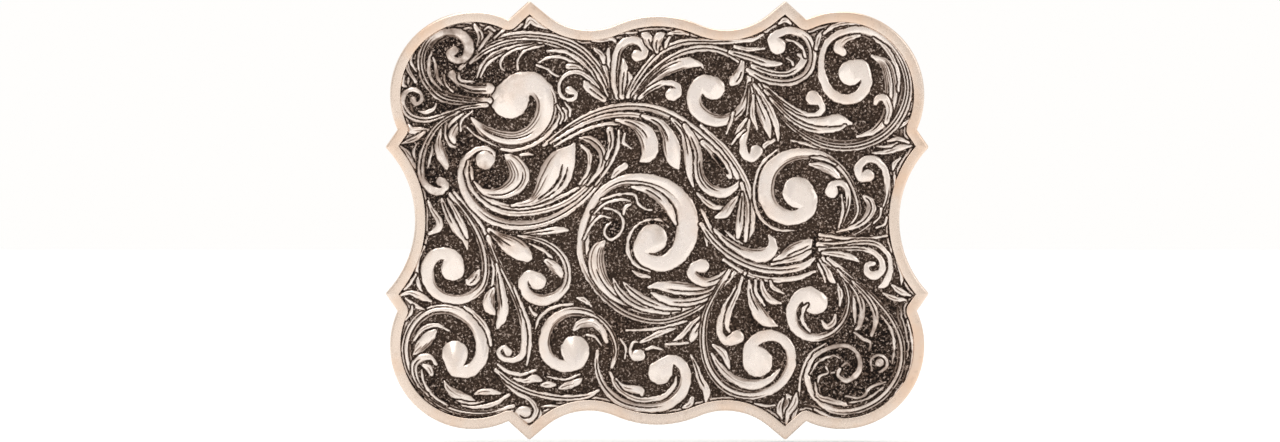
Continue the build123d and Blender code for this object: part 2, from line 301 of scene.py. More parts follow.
TOP_RIGHT = [
    # cusp scroll
    Form(12.4, 20.4, .3, 14.8, 19.1, .4, 18, 18.8, .45, 20.4, 20, .5, 21.2, 22.4, .5, 20.5, 24.7, .5,
         18.7, 25.8, .5, 16.8, 25.6, .5, 15.7, 24.7, .6, 16.4, 23.7, 1.1, lines=1, until=.75),
    Form(13, 21, .25, 15.5, 20.1, .35, 17.8, 20, .35, 19.4, 21, .45, 20, 22.2, .4, 19.2, 22.6, .15, lines=1),
    Form(10, 22.9, .25, 12.5, 22.2, .4, 15, 21.4, .45, 17, 21.3, .12, lines=1),
    Form(10.6, 23.6, .2, 12.5, 23.3, .25, 14.6, 23.4, .1),
    Form(17.6, 24.6, .08, 18.8, 24.3, .14, 19.8, 23.4, .16, 20.2, 22.3, .1),
    Form(17.6, 22.1, .08, 18.3, 21.7, .16, 18.5, 21.2, .1),
    Form(16.6, 26.8, .1, 17.4, 27.3, .3, 18.2, 26.8, .1),
    Form(21.7, 23.4, .2, 22, 24.8, .3, 22.6, 25.8, .15),
    Form(22.7, 25.4, .15, 24.3, 26.6, .25, 26.8, 27, .3, 29.3, 26.5, .15),
    # corner scroll with its stem
    Form(13.8, 18.3, .3, 16.5, 14.9, .4, 19.5, 12.2, .55, 23, 10.5, .7, 27, 10.3, .75, 30.6, 11.7, .8,
         33, 14.3, .8, 34.1, 17.8, .75, 33.4, 21.3, .7, 31.3, 24.3, .6, 28.3, 25.9, .5, 25.4, 25.7, .4,
         23.3, 24.4, .35, 22.4, 22, .4, 22.6, 19.4, .55, 23.8, 17.3, .65, 25.8, 16.5, .7, 27.7, 17.2, .75,
         28.6, 19, .75, 28, 21, .8, 26.4, 20.1, 1.65, lines=3, until=.6),
    Form(29.4, 22.4, .2, 31.2, 21.3, .7, 31.9, 19, .85, 31.9, 16.5, .8, 31.2, 14, .6, 29.6, 12.2, .4,
         27.3, 11.4, .15, cuts=[(.3, .3, .1, .6), (-.4, -.4, .3, .9)]),
    Form(31.3, 13.4, .3, 31.7, 15.2, .4, 31.1, 16.6, .45, 30.2, 16.7, .4, 29.8, 16, .25),
    Form(27.6, 25.2, .15, 25.8, 24.7, .35, 24.7, 23.6, .65, 25.3, 22.9, .5),
    Form(29.5, 24.9, .1, 31.5, 23.2, .25, 32.9, 20.4, .2, 33, 17.6, .1),
    # fan of leaves from the arch's end
    Form(14.5, 18.4, .2, 16.8, 16.4, .3, 19.2, 14.8, .35, 21.2, 14.2, .4, 22.5, 15, .4, 22.2, 16.1, .45,
         21.2, 16.7, .95, lines=1, until=.6),
    Form(14.6, 17.7, .15, 17.5, 14.9, .3, 20, 13.6, .35, 22.5, 13.4, .6, 24.6, 13.7, .75, 26.4, 13.2, .2,
         lines=1, until=.5),
    Form(15.4, 16.6, .15, 18.4, 13.7, .3, 21.3, 12.4, .4, 24.6, 12.4, .25, 25.6, 12.9, .1, lines=1),
    Form(12.7, 18.5, .2, 12.6, 15.5, .3, 12.2, 12.8, .4, 11.7, 10.6, .5, 11.9, 9, .55, 12.9, 8.5, .55,
         13.5, 9.4, .8, cuts=[(-.2, -.2, .05, .6)]),
    Form(12.9, 18.3, .2, 13.8, 15.8, .5, 14.8, 13.4, .6, 15.4, 11.2, .1, lines=1),
    Form(13.2, 18.5, .2, 15.2, 15.5, .3, 16.2, 13, .35, 16.5, 10.8, .1),
    Form(13.1, 17, .12, 13, 14.4, .3, 13.6, 12.4, .1),
    Form(12.2, 13.9, .1, 11.2, 12.6, .25, 10.5, 11, .1),
    Form(11.9, 12.3, .1, 10.9, 11.4, .14, 10.2, 10.4, .1),
    Form(10.4, 14.8, .08, 10, 13.3, .15, 9.4, 11.8, .08),
]

MIDDLE_LEFT = [
    # stem down the left edge to its eye
    Form(-27, 14.7, .2, -29.6, 13.2, .25, -31.3, 11, .35, -32.2, 8.4, .42, -32.2, 6, .45, -31.2, 4.4, .5,
         -29.8, 3.9, .5, -28.8, 4.6, .4, -29.5, 5.3, .65, lines=1, until=.7),
    Form(-27.4, 14, .15, -29.5, 12, .2, -30.7, 9.6, .22, -31.3, 7.3, .15),
    Form(-26.4, 14.6, .12, -28.2, 13.2, .2, -30, 10.6, .12),
    Form(-29.5, 12.4, .12, -29.9, 10.6, .4, -29.5, 9, .7, -28.9, 7.6, .45, -28.7, 7, .1),
    Form(-27, 13.3, .15, -27.7, 12.3, .45, -28, 11.3, .5, -27.7, 10.6, .2),
    Form(-28.9, 12.9, .1, -28.9, 11.5, .14, -28.3, 10.3, .14, -27.2, 9.9, .1),
    Form(-25.2, 14.9, .1, -26.7, 13.6, .14, -26.8, 12.2, .1),
    Form(-26, 12.7, .08, -24.8, 11.6, .12, -23, 10.6, .12, -21.6, 10, .08),
    # leaves under it
    Form(-31.3, 2.6, .15, -30.6, 1.2, .3, -29.8, 0, .4, -29.9, -1.1, .45, -31.1, -1.8, .2),
    Form(-29.4, 2.8, .2, -28.7, 1, .4, -27.9, -.6, .45, -27.1, -1.7, .5, -26.3, -2.6, .35, -25.9, -3.9, .1,
         lines=1, until=.5),
    Form(-28.5, 2.9, .2, -27.4, .9, .3, -26.4, -1, .35, -25.9, -2.4, .1),
    # scroll at the left
    Form(-28.3, 3.6, .25, -26.2, 1, .35, -24.7, -1.4, .45, -23.7, -4, .5, -23.4, -6.8, .5, -24.1, -9.2, .55,
         -26.3, -10.7, .6, -28.9, -10.6, .65, -30.8, -9.2, .75, -31.4, -7, .85, -30.8, -5.2, .85,
         -29.2, -4.5, .8, -27.8, -5.2, 1, -27.9, -6.6, 1.6, lines=2, until=.55),
    Form(-27.8, 3.9, .15, -25.4, 1.2, .2, -23.6, -1.4, .22, -22.7, -4.2, .22, -22.3, -7, .2,
         -22.6, -9.2, .1),
    Form(-31.8, -3.6, .12, -32.7, -5.6, .16, -32.8, -8, .2, -31.9, -10.2, .15, -30.6, -11.3, .1),
    Form(-24.3, -6.8, .1, -24.9, -7.9, .65, -25.6, -8.5, .45, -26, -8.2, .15, cuts=[(0, .2, .2, .8)]),
    Form(-34.6, -9.5, .08, -33.8, -8.7, .2, -33, -7.4, .1),
    # round scroll inside the big curl
    Form(-6.3, 8.5, .3, -8.2, 5, .4, -11.2, 2, .45, -15, -.1, .55, -19, -.7, .6, -22.6, .1, .6,
         -25.3, 2.4, .6, -26.7, 5.2, .5, -26.6, 7.6, .4, -25.3, 9.3, .35, -23.6, 9.9, .25, -22.3, 9.2, .2,
         -22.3, 8.2, .15, -23.5, 8.2, 1.25, lines=1, until=.65),
    Form(-7.2, 7.7, .15, -9.6, 4.6, .25, -12.7, 2.3, .3, -16, 1.2, .32, -19.6, .9, .32, -22.7, 1.8, .32,
         -25, 3.9, .3, -26, 6.3, .25, -25.8, 8, .12),
    Form(-10.8, 4.4, .15, -13.8, 2.9, .25, -17, 1.9, .3, -20.5, 1.9, .32, -23.3, 3.1, .3, -25, 5.2, .25,
         -25.4, 7.2, .12),
    Form(-20.7, 8.9, .15, -19.5, 7.8, .95, -18.8, 6.2, 1.35, -19.5, 4.7, 1.2, -21.4, 3.7, .75,
         -23.6, 3.9, .35, -25, 5.3, .1, cuts=[(.35, .3, .25, .8)]),
    Form(-19.8, 2, .15, -17.2, 2.5, .45, -15.5, 3.9, 1.2, -14.1, 5.8, 2.1, -13.2, 7.6, 1.9, -12, 9.3, .85,
         -11.3, 10.4, .12),
    Form(-16.2, 2.9, .08, -14.4, 4.3, .12, -13.3, 5.9, .14, -12.9, 7.6, .05, dark=True),
    Form(-15.2, 3, .08, -13.5, 4.3, .1, -12.6, 5.8, .12, -12.2, 7.2, .05, dark=True),
    Form(-10.5, 11.2, .1, -9, 10.9, .45, -7.7, 9.7, .5, -7.4, 8.2, .42, -8, 6.6, .3, -9.5, 4.8, .1, lines=1),
    Form(-10.4, 10.2, .1, -9.4, 9.3, .22, -9.2, 8, .25, -9.6, 6.4, .15, -10.6, 4.9, .1),
    Form(-6.5, 12.3, .45, -6.3, 10.6, .35, -6.9, 8.4, .15, lines=1),
    Form(-5.2, 12.2, .15, -5.4, 10, .2, -6.4, 7.6, .15, -8.4, 4.8, .1),
    # leaf and stems below it
    Form(-23, -1.3, .2, -21.4, -2.5, .7, -19.6, -3.6, 1.3, -18.2, -4.6, 1, -17.3, -5.1, .3,
         cuts=[(-.1, -.1, .02, .6), (-.5, -.4, .02, .45)]),
    Form(-18.2, -1.9, .12, -15.6, -1.6, .35, -13.4, -1.3, .45, -12.2, -1.4, .1, lines=1),
    Form(-23.1, -2.3, .25, -21.9, -5.4, .35, -20.5, -8.2, .42, -19.2, -10.8, .45, -18.3, -13.5, .48,
         -18.1, -16.2, .45, -18.4, -18.3, .4, -19.6, -19.1, .35, -21.1, -18.8, .3, -21.6, -17.9, .25,
         -21, -17.3, .25, -20.3, -18, .5, lines=2, until=.6),
    Form(-19.5, -9.2, .12, -18.3, -12, .2, -17.4, -14.6, .22, -17.4, -17.4, .2, -17.8, -19.8, .1),
    Form(-22.3, -9.3, .15, -22.9, -10.6, .7, -22.9, -11.8, .75, -22.2, -12.8, .2),
    Form(-21.9, -6, .12, -21.4, -9, .5, -21, -11.5, .7, -21.2, -13.2, .65, -21.8, -14.7, .15,
         cuts=[(-.3, -.3, .1, .7)]),
    # small scroll beside it
    Form(-19, -2.1, .15, -16, -2.7, .25, -13.7, -4, .35, -12.4, -6, .42, -12.3, -8.4, .5, -13.6, -10.2, .6,
         -15.8, -10.9, .75, -17.7, -10, .7, -18.3, -8.4, .6, -17.5, -7.4, .55, -16.3, -8.3, 1.15, lines=1,
         until=.6),
    Form(-17.4, -3.2, .1, -15.5, -4.1, .2, -14.3, -5.2, .12),
    Form(-15.2, -5.5, .2, -14.2, -6.2, .65, -13.4, -7, .5, -13, -7.7, .12),
]

MIDDLE = [
    # big scroll
    Form(11.5, -6, .25, 8.5, -9.2, .35, 5, -12.1, .45, .5, -13.6, .5, -4, -12.6, .55, -7.8, -9.6, .6,
         -10.1, -5.6, .55, -10.2, -1.3, .5, -8.4, 2.9, .5, -5.4, 5.2, .65, -2, 5.4, .95, 1.3, 4.3, 1.2,
         3.5, 2, 1.4, 4.1, -.8, 1.5, 3.4, -3.8, 1.35, 1.2, -5.8, 1.1, -1.3, -5.5, .95, -2.5, -3.9, .8,
         -.6, -2.5, 1.95, cuts=[(-.45, -.45, .02, .5), (.35, .35, .05, .45), (-.2, -.15, .55, .78)]),
    Form(7, -9.9, .08, 4.6, -11.7, .2, .5, -12.7, .25, -3.6, -11.9, .25, -7, -9.2, .25, -9.2, -5.5, .25,
         -9.4, -1.5, .2, -7.7, 2.1, .2, -6.2, 3.5, .08),
    Form(-1, -7, .08, -3, -6, .18, -4, -4.2, .22, -3.8, -2.2, .18, -2.8, -.7, .14, -1.2, .05, .12,
         .4, 0, .12, 1.5, -.9, .08),
    Form(-10, -2.6, .08, -9, -.7, .14, -7.7, .5, .15, -6.6, .3, .14, -5.9, -.4, .12, -6.4, -.6, .08),
    Form(-6.7, -.5, .7, -5.7, -1, .9, -5.9, -1.9, .6, dark=True),
    Form(-8.9, 1.1, .08, -7.5, 1.6, .12, -5.9, 1.4, .14, -4.8, .4, .16, -4.7, -1, .16, -5.4, -2.2, .16,
         -6.5, -2.6, .16, -7.2, -1.7, .14, -6.9, -.8, .12, -6.3, -.3, .1),
    Form(-8.6, .9, .08, -7, 2.3, .14, -5, 2.8, .15, -3.6, 2.6, .1),
    Form(-7.6, 2.8, .08, -5.3, 3.5, .14, -3.2, 3.5, .14, -2.6, 2.3, .13, -1.6, 1.5, .12, -.8, 1.4, .08),
    Form(-4.6, .8, .1, -4.3, 1.8, .18, -3.6, 2.2, .1),
    Form(-3.4, 4.5, .15, -1.4, 4.1, .45, .4, 2.9, .6, 1.8, 1.2, .5, 2.5, -.5, .15, cuts=[(0, 0, .2, .6)]),
    # lobes on its left and under it
    Form(-7.2, -2.9, .15, -8.1, -4.1, .85, -8.3, -6, 1.1, -7.6, -8, .95, -6.1, -9.9, .75, -4.1, -11.2, .45,
         -2, -11.9, .15, cuts=[(-.1, -.1, .3, .85)]),
    Form(-6, -8, .1, -5.3, -9.4, .4, -3.8, -10.9, .5, -1.5, -12, .45, 1.5, -12.6, .25, lines=1),
    Form(-4.6, -8.5, .1, -3.4, -9.7, .45, -1.6, -10.9, .5, .8, -11.8, .4, 3, -12.1, .15, lines=1),
    Form(8.7, -9.3, .15, 6, -10.8, .4, 3, -11.2, .5, .8, -10.7, .45, -.8, -9.9, .12, lines=1),
    Form(9.6, -7.6, .2, 7.5, -9, .45, 5, -9.4, .75, 2.5, -9.2, .85, .3, -8.9, .5, -1.2, -9.1, .1,
         cuts=[(.3, .4, .2, .8)]),
    Form(-3.4, -6.9, .08, -2.3, -7.5, .25, -1, -7.7, .12),
    Form(10, -6.6, .3, 8.2, -8, .45, 6.3, -8.4, .6, 4.8, -7.5, .65, 4.9, -6.4, .55, 6.1, -6.2, .95, lines=1,
         until=.5),
    Form(-6.2, 5.8, .1, -5.5, 6.6, .4, -4.4, 7.4, .4),
    # leaves between the big scroll and the right hand one
    Form(6.3, 0, .15, 6.6, -1.6, .35, 6.8, -3.4, .1),
    Form(11.5, 5, .2, 12.2, 2, .3, 12.1, -1, .35, 12, -2.8, .2),
    Form(11.6, 3.6, .15, 11.4, 1.5, .35, 11.2, -.5, .5, 11, -2.2, .3, lines=1),
    Form(10.9, 3.2, .12, 10, 2, .5, 9.2, .9, .55, 8, .4, .15),
    Form(6, 1.4, .15, 7.6, -1.6, .25, 9.8, -3.7, .3, 12.4, -5.2, .35, 14.8, -5.6, .3),
]

MIDDLE_RIGHT = [
    # big scroll on the right
    Form(22.3, -2.4, .3, 25.6, -1.2, .35, 27.3, .9, .4, 27, 3.4, .45, 25.6, 6.2, .5, 23.3, 8.3, .6,
         20.3, 9.1, .7, 17.4, 8.5, .9, 15.3, 6.5, 1.05, 14.8, 3.6, 1.1, 15.9, 1.3, 1.1, 18.2, .3, 1,
         20.4, 1.2, .95, 21.1, 3, .7, 19.2, 3.8, 2.1, lines=2, until=.42),
    Form(16.3, 9.6, .1, 14.3, 7.8, .14, 13.3, 5.2, .16, 13.3, 2.4, .16, 14.3, 0, .16, 16.5, -1.3, .14,
         19, -1.4, .08),
    Form(20.8, 7.6, .12, 22.6, 7.3, .55, 24.2, 6.4, .45, 25.2, 5.2, .15),
    Form(21, 8.6, .1, 22.6, 8.4, .16, 24.3, 7.6, .1),
    Form(25.2, -.4, .2, 26, 2, .3, 26, 4, .35, 25.2, 5, .4, 24, 4.9, .45, 23.8, 3.9, .85, lines=1, until=.5),
    Form(24.8, -.9, .12, 25.3, 1.2, .2, 25.2, 3.4, .1),
    # edge scroll over it
    Form(23, -2.7, .2, 27, -1.9, .28, 29.9, .3, .32, 31.3, 3.2, .38, 31.3, 6.2, .42, 30.1, 8.1, .45,
         28.5, 8.3, .45, 27.5, 7.2, .55, 27.7, 5.8, .45, 28.8, 6.1, .8, lines=2, until=.6),
    Form(28.1, 3.3, .15, 29, 2.6, .5, 29.2, 1.4, .6, 28.3, 0, .45, 26.6, -1, .25, 24.5, -1.6, .1, lines=1),
    Form(32.4, 6.8, .12, 32.5, 4, .2, 32, 1.4, .15, 31, -.3, .1),
    Form(33.2, 8.5, .1, 32.4, 7.7, .25, 32.2, 6.9, .1),
    Form(29.4, 9.2, .1, 31.2, 9.3, .25, 33, 9.9, .4, 34.8, 10.2, .1),
    Form(31.5, 10.8, .1, 33, 11.1, .25, 34.4, 10.6, .1),
    Form(30, 10.1, .08, 31.6, 10.1, .15, 32.8, 10.6, .08),
    # stems and leaves towards the lower right
    Form(6, -.6, .25, 7.8, -3, .35, 10.3, -5, .45, 13.5, -6.4, .5, 17, -6.8, .5, 20, -6.2, .4,
         21.4, -5.2, .15, lines=1, until=.9),
    Form(7.7, -1.2, .15, 9.5, -2.9, .4, 12, -4.4, .65, 14.2, -4.8, .95, 15.5, -4.1, .8, 15.7, -3, .5,
         15.3, -2.2, .15, cuts=[(.25, .25, .1, .5)]),
    Form(15.9, -5.5, .12, 17.1, -4.9, .45, 18.5, -4.1, .8, 20, -3.5, .85, 21.2, -2.9, .3,
         cuts=[(-.4, -.3, .3, .9)]),
    Form(15.6, -6, .12, 17.7, -5.6, .22, 19.7, -5, .35, 21, -4.2, .15),
    Form(9, -5.4, .15, 12, -7.2, .25, 15.5, -8.1, .3, 19, -7.9, .3, 21.5, -7, .15),
    Form(21.6, -1.7, .1, 21.4, -2.8, .2, 21.3, -4.2, .2, 21.5, -5, .1, dark=True),
    Form(22.2, -2, .2, 26, -2.5, .2, 29, -2.5, .2, 31.4, -2.1, .1),
    Form(22, -3.3, .3, 24.5, -3.4, .35, 27.5, -3, .3, 29.9, -3.2, .3, 31.5, -4.6, .3, 31.9, -6.4, .3,
         31.7, -7.6, .4, 31, -8.8, .4, 30.3, -9.2, .1, lines=1, until=.6),
    Form(22.2, -4, .25, 25.5, -3.9, .25, 28.5, -4, .3, 30.3, -5, .35, 30.8, -6.5, .4, 29.9, -7.5, .5,
         28.8, -7.3, .45, 28.6, -6.2, .3, 29.5, -5.9, .3, lines=1, until=.5),
    Form(22.6, -4.5, .2, 24.5, -4.6, .35, 26.3, -5, .4, 27.5, -5.6, .1),
    Form(29.9, -1, .08, 31, -.6, .12, 31.4, .4, .08),
    Form(29.6, -.4, .08, 30.4, .5, .1, 30.6, 1.6, .08),
    Form(32.7, -5.4, .12, 33.4, -7.4, .2, 33.4, -8.8, .1),
    Form(32.1, -8.9, .12, 33.2, -9.7, .4, 34.6, -10.3, .12),
    Form(30.9, -10, .12, 32.4, -10.7, .35, 34, -10.9, .12),
    Form(22.2, -5.4, .15, 23.2, -6.8, .3, 23.7, -8, .35, 24.3, -8.5, .15),
    Form(21.9, -5.9, .1, 22.6, -7.4, .15, 22.9, -8.4, .1),
]

BOTTOM_LEFT = [
    # corner scroll
    Form(-19.6, -25.3, .2, -23.4, -26.3, .3, -27.6, -25.9, .4, -31.1, -23.9, .5, -33.6, -20.8, .58,
         -34.3, -17.2, .6, -33.2, -14.2, .6, -30.9, -12.4, .6, -28, -12.3, .65, -25.4, -13.7, .75,
         -24, -16.1, .85, -24.1, -18.8, .9, -25.5, -20.5, .85, -27.5, -20.4, .9, -27.6, -18.2, 1.75, lines=2,
         until=.72),
    Form(-33.3, -18.3, .15, -32.3, -17.2, .7, -31.3, -16.1, .8, -30.4, -15.2, .3),
    Form(-33.5, -16.8, .1, -32.2, -15, .25, -30.3, -14.3, .25, -28.4, -15.1, .1),
    Form(-31.2, -24, .1, -32.8, -22, .3, -33.2, -19.9, .4, -32.1, -18.8, .5, -30.9, -18.7, .3,
         -30.2, -19.7, .12, lines=1),
    Form(-30.8, -21, .25, -31.2, -20.2, .4, -32, -19.8, .15),
    Form(-28.6, -25.3, .1, -30.6, -24, .14, -31.9, -22, .16, -32.2, -20.4, .1),
    Form(-29.1, -21.9, .08, -28.4, -23.1, .4, -27.1, -23.9, .6, -25.6, -24.4, .35, -24.6, -24.9, .1),
    Form(-24.8, -23.7, .15, -23.8, -23.4, .42, -22.5, -23.4, .38, -21.4, -23.6, .12),
    Form(-26.6, -25.3, .08, -24.5, -25.5, .2, -22.2, -25, .25, -20.2, -23.8, .15),
    Form(-27.4, -24.6, .08, -25.4, -25, .12, -23.6, -24.7, .08),
    Form(-26.3, -11.8, .12, -24.9, -12.8, .25, -23.3, -14.8, .3, -22.7, -17, .15),
    # cusp scroll and stems
    Form(-21.5, -21.3, .15, -19.5, -23.3, .2, -17.3, -24.5, .25, -16.5, -25.8, .28, -17, -27, .3,
         -18.2, -27.4, .3, -19.2, -26.6, .3, -18.7, -25.9, .4, -18, -26.1, .75),
    Form(-22, -20.4, .2, -20, -22.1, .3, -17, -23.5, .35, -13, -24.2, .4, -9.8, -24, .35, -8, -23.2, .15,
         lines=1, until=.95),
    Form(-21.7, -19.7, .12, -20.5, -20.6, .2, -18.5, -21, .2, -16.6, -20.4, .1),
    Form(-19.6, -21.6, .1, -18.1, -21.9, .25, -16.8, -21.6, .5, -15.9, -21.8, .2),
    Form(-15.8, -22.5, .12, -14.8, -22.4, .42, -14, -22.4, .15),
    Form(-13.4, -22.9, .15, -12.2, -22.5, .5, -11, -22.1, .42, -10.2, -21.5, .1),
    Form(-15, -21.3, .08, -12.6, -21.7, .12, -10.6, -21, .08),
    Form(-15.8, -25.4, .08, -14.6, -25.3, .15, -13.2, -25.4, .08),
    # left cusp leaf
    Form(-35.3, -10.4, .1, -33.9, -9.9, .25, -32.3, -10.4, .45, -30.9, -11.1, .12),
    Form(-34.4, -10.7, .1, -33, -11.7, .25, -31.8, -12.2, .1),
    Form(-34.4, -13.6, .1, -33.6, -12.5, .2, -33.5, -11.7, .1),
]

BOTTOM_MIDDLE = [
    Form(-6.2, -20, .2, -5.6, -17.6, .35, -6.6, -14.9, .45, -9, -12.9, .55, -12, -12.5, .6, -14.5, -14, .7,
         -15.4, -16.6, .75, -14.7, -18.9, .8, -12.8, -19.9, .75, -10.8, -19.4, .85, -11.2, -17.7, 1.95,
         lines=2, until=.5),
    Form(-11.3, -14.9, .2, -10.4, -14.1, .55, -8.8, -14, .55, -7.5, -15, .4, -6.9, -16.6, .2),
    Form(-9.7, -15.6, .08, -8.5, -15.9, .14, -7.6, -17, .1),
    Form(-16.6, -14.8, .1, -15.9, -13.1, .2, -14, -11.8, .2, -11.5, -11.4, .12),
    Form(-10.9, -10.6, .12, -10, -10.8, .3, -9, -11.7, .12),
    # scroll at the foot
    Form(-8.2, -17.8, .2, -8.2, -20.3, .3, -7.2, -22.7, .45, -5, -24.7, .55, -1.8, -25.5, .6, 1.3, -25.1, .7,
         3.3, -23.4, .75, 3.9, -21.2, .7, 3.2, -19.5, .65, 1.7, -19, .65, .4, -20.7, 1.6, lines=1, until=.6),
    Form(-6.4, -20.8, .15, -5.2, -23, .3, -2.6, -24.4, .3, .5, -24.1, .3, 2.2, -22.7, .25, 2.6, -21.3, .1),
    Form(-5.6, -21.6, .08, -4.5, -22.7, .25, -3.3, -23, .5, -2.3, -23.2, .5, -2.1, -23.8, .15),
    Form(-1.9, -16.8, .1, -3.2, -16.6, .16, -3.7, -17.8, .18, -3.3, -18.8, .2, -2.5, -18.4, .8),
    Form(-4.2, -15, .08, -1.5, -14.9, .15, 1, -14.6, .2, 4, -13.7, .12),
    Form(-2.3, -16.6, .12, -1.2, -16.1, .3, .6, -15.3, .3, 2.8, -14.6, .1),
    Form(6.4, -12.8, .12, 4.8, -14, .25, 3.3, -15.7, .3, 2, -16.6, .1),
    Form(6.7, -12.9, .15, 5.7, -14.5, .45, 4.9, -15.8, .45, 4.6, -16.5, .15, lines=1),
    Form(4.2, -16.7, .1, 2.8, -16.8, .16, 1.2, -16.9, .08),
    Form(4.6, -18.4, .1, 5.3, -20, .3, 5.9, -21.8, .45, 6.7, -23.3, .5, 6.6, -24.8, .1, lines=1),
    Form(3.5, -25.5, .1, 4.4, -25.1, .35, 4.8, -24.2, .2),
    Form(-5, -16.2, .08, -4.3, -17.4, .12, -4.4, -18.8, .08),
]

BOTTOM_RIGHT = [
    # scroll at the lower middle
    Form(9.8, -6.9, .2, 8, -9.9, .3, 6.6, -13, .4, 6.3, -16.8, .5, 7.2, -20.3, .55, 9.5, -22.9, .6,
         12.8, -23.8, .55, 16.1, -22.8, .55, 18, -20.4, .6, 18.1, -17.6, .65, 16.4, -15.9, .7,
         14.2, -15.9, .8, 12.7, -17.3, .85, 13.7, -19.3, 2, lines=2, until=.62),
    Form(7.4, -18.2, .12, 8.6, -20, .4, 10.5, -21.7, .55, 13, -22.4, .65, 15.2, -21.8, .4, 16.7, -20.3, .1),
    Form(7.6, -17, .12, 8.8, -17.9, .45, 9.5, -19.2, .3, 9.8, -20.2, .1),
    Form(12, -7.2, .15, 10.6, -9.6, .3, 9.1, -12.3, .4, 8.5, -14.8, .45, 9.3, -16.5, .5, 10.9, -15.9, .9,
         lines=1, until=.5),
    Form(11.6, -7.7, .12, 10.9, -10, .25, 9.9, -12.3, .35, 9.5, -14.3, .3, 9.8, -15.2, .1),
    # leaves beside it
    Form(12.5, -8.3, .15, 12.8, -10.5, .45, 13.8, -12.5, .9, 14.8, -13.7, .75, 16.3, -14.4, .12,
         cuts=[(.1, .1, .1, .6)]),
    Form(14.2, -8.2, .12, 14.5, -9.6, .35, 15.5, -10.9, .45, 16.8, -11.3, .12),
    Form(13.4, -8.2, .1, 13.5, -9.9, .2, 14.6, -11.6, .12),
    Form(15.4, -8.3, .1, 15.8, -9.2, .25, 17.3, -10, .1),
    # scroll under the big leaf
    Form(22.6, -5.2, .2, 25, -7.6, .28, 26.1, -10.4, .35, 25.6, -13.3, .4, 23.7, -15.4, .48, 21, -16, .55,
         18.9, -14.7, .65, 18.3, -12.3, .7, 19.2, -10.5, .75, 20.6, -9.9, .85, 21.6, -11.2, 1.65, lines=2,
         until=.6),
    Form(24.3, -12.9, .12, 24, -14, .35, 23.1, -14.5, .35, 22.5, -13.8, .12),
    Form(20.8, -15.2, .1, 19.8, -13.8, .2, 19.9, -12.2, .2, 20.5, -11.5, .1),
    Form(24.6, -8.6, .1, 25, -10, .3, 24.9, -11.6, .1),
    # corner scroll
    Form(23.3, -5.2, .2, 26.5, -7.8, .3, 29.5, -10.6, .35, 32, -13.7, .42, 33.3, -17, .5, 33, -20.6, .55,
         30.9, -23.8, .58, 27.5, -25.7, .58, 24, -25.8, .5, 21.4, -23.9, .42, 20.4, -21.1, .38,
         21.3, -18.7, .3, 23.5, -17.4, .25, 26, -17.2, .25, 27.5, -18.6, .3, 27.5, -20.6, .35, 26, -21.9, .3,
         24.7, -21.2, .2, 25, -20.2, .15, lines=2, until=.62),
    Form(34.2, -13.6, .1, 34.9, -16.5, .2, 34.9, -19.4, .2, 33.9, -22, .1),
    Form(20.9, -20.9, .08, 22, -19.3, .14, 24, -18.5, .14, 25, -18.9, .08),
    Form(25.2, -19.9, .1, 25.8, -19.5, .14, 26.5, -20, .1),
    Form(21.8, -22.5, .1, 22.2, -21.3, .14, 23.3, -20.8, .12, 23, -20, .08),
    Form(21.5, -22.2, .1, 22, -24, .25, 23.4, -24.5, .38, 25.2, -25, .3, 26.4, -25.2, .1),
    Form(25.7, -24, .1, 27.9, -24.2, .22, 29.2, -22.8, .16, 31.2, -22.1, .1),
    Form(26.2, -24.9, .08, 28.6, -24.4, .14, 30.9, -22.8, .1),
    Form(29.3, -20.5, .12, 29.2, -19.1, .16, 30.2, -18.4, .18, 31.3, -19, .18, 31.3, -20.1, .16,
         30.4, -20.7, .12),
    Form(30.3, -19.5, .5, 30.4, -19.4, .5),
    # leaves between the corner and the scroll above
    Form(24.6, -6.8, .1, 27.1, -9.5, .3, 28, -12, .4, 27.6, -14.3, .3, 27, -15, .1, lines=1),
    Form(26.6, -8.3, .12, 29, -11, .35, 29.9, -13.4, .38, 29.3, -15.7, .15, lines=1),
    Form(26.9, -15.3, .1, 28, -16.1, .2, 29.1, -16.7, .2, 28.9, -17.8, .08),
    Form(30.6, -13, .1, 32, -15, .16, 32.4, -17.3, .16, 32.1, -19.6, .1),
    Form(19.3, -24, .1, 19.6, -21, .15, 20.9, -18.2, .15, 23, -16.8, .1),
    # cusp leaves
    Form(19, -23.6, .12, 18.7, -25, .4, 17.9, -26.2, .35, 17.6, -27.7, .1),
    Form(17.2, -24.2, .12, 16.6, -25.6, .35, 17, -27, .12),
    Form(13.3, -25, .08, 14.8, -25.3, .14, 16, -25.2, .08),
]

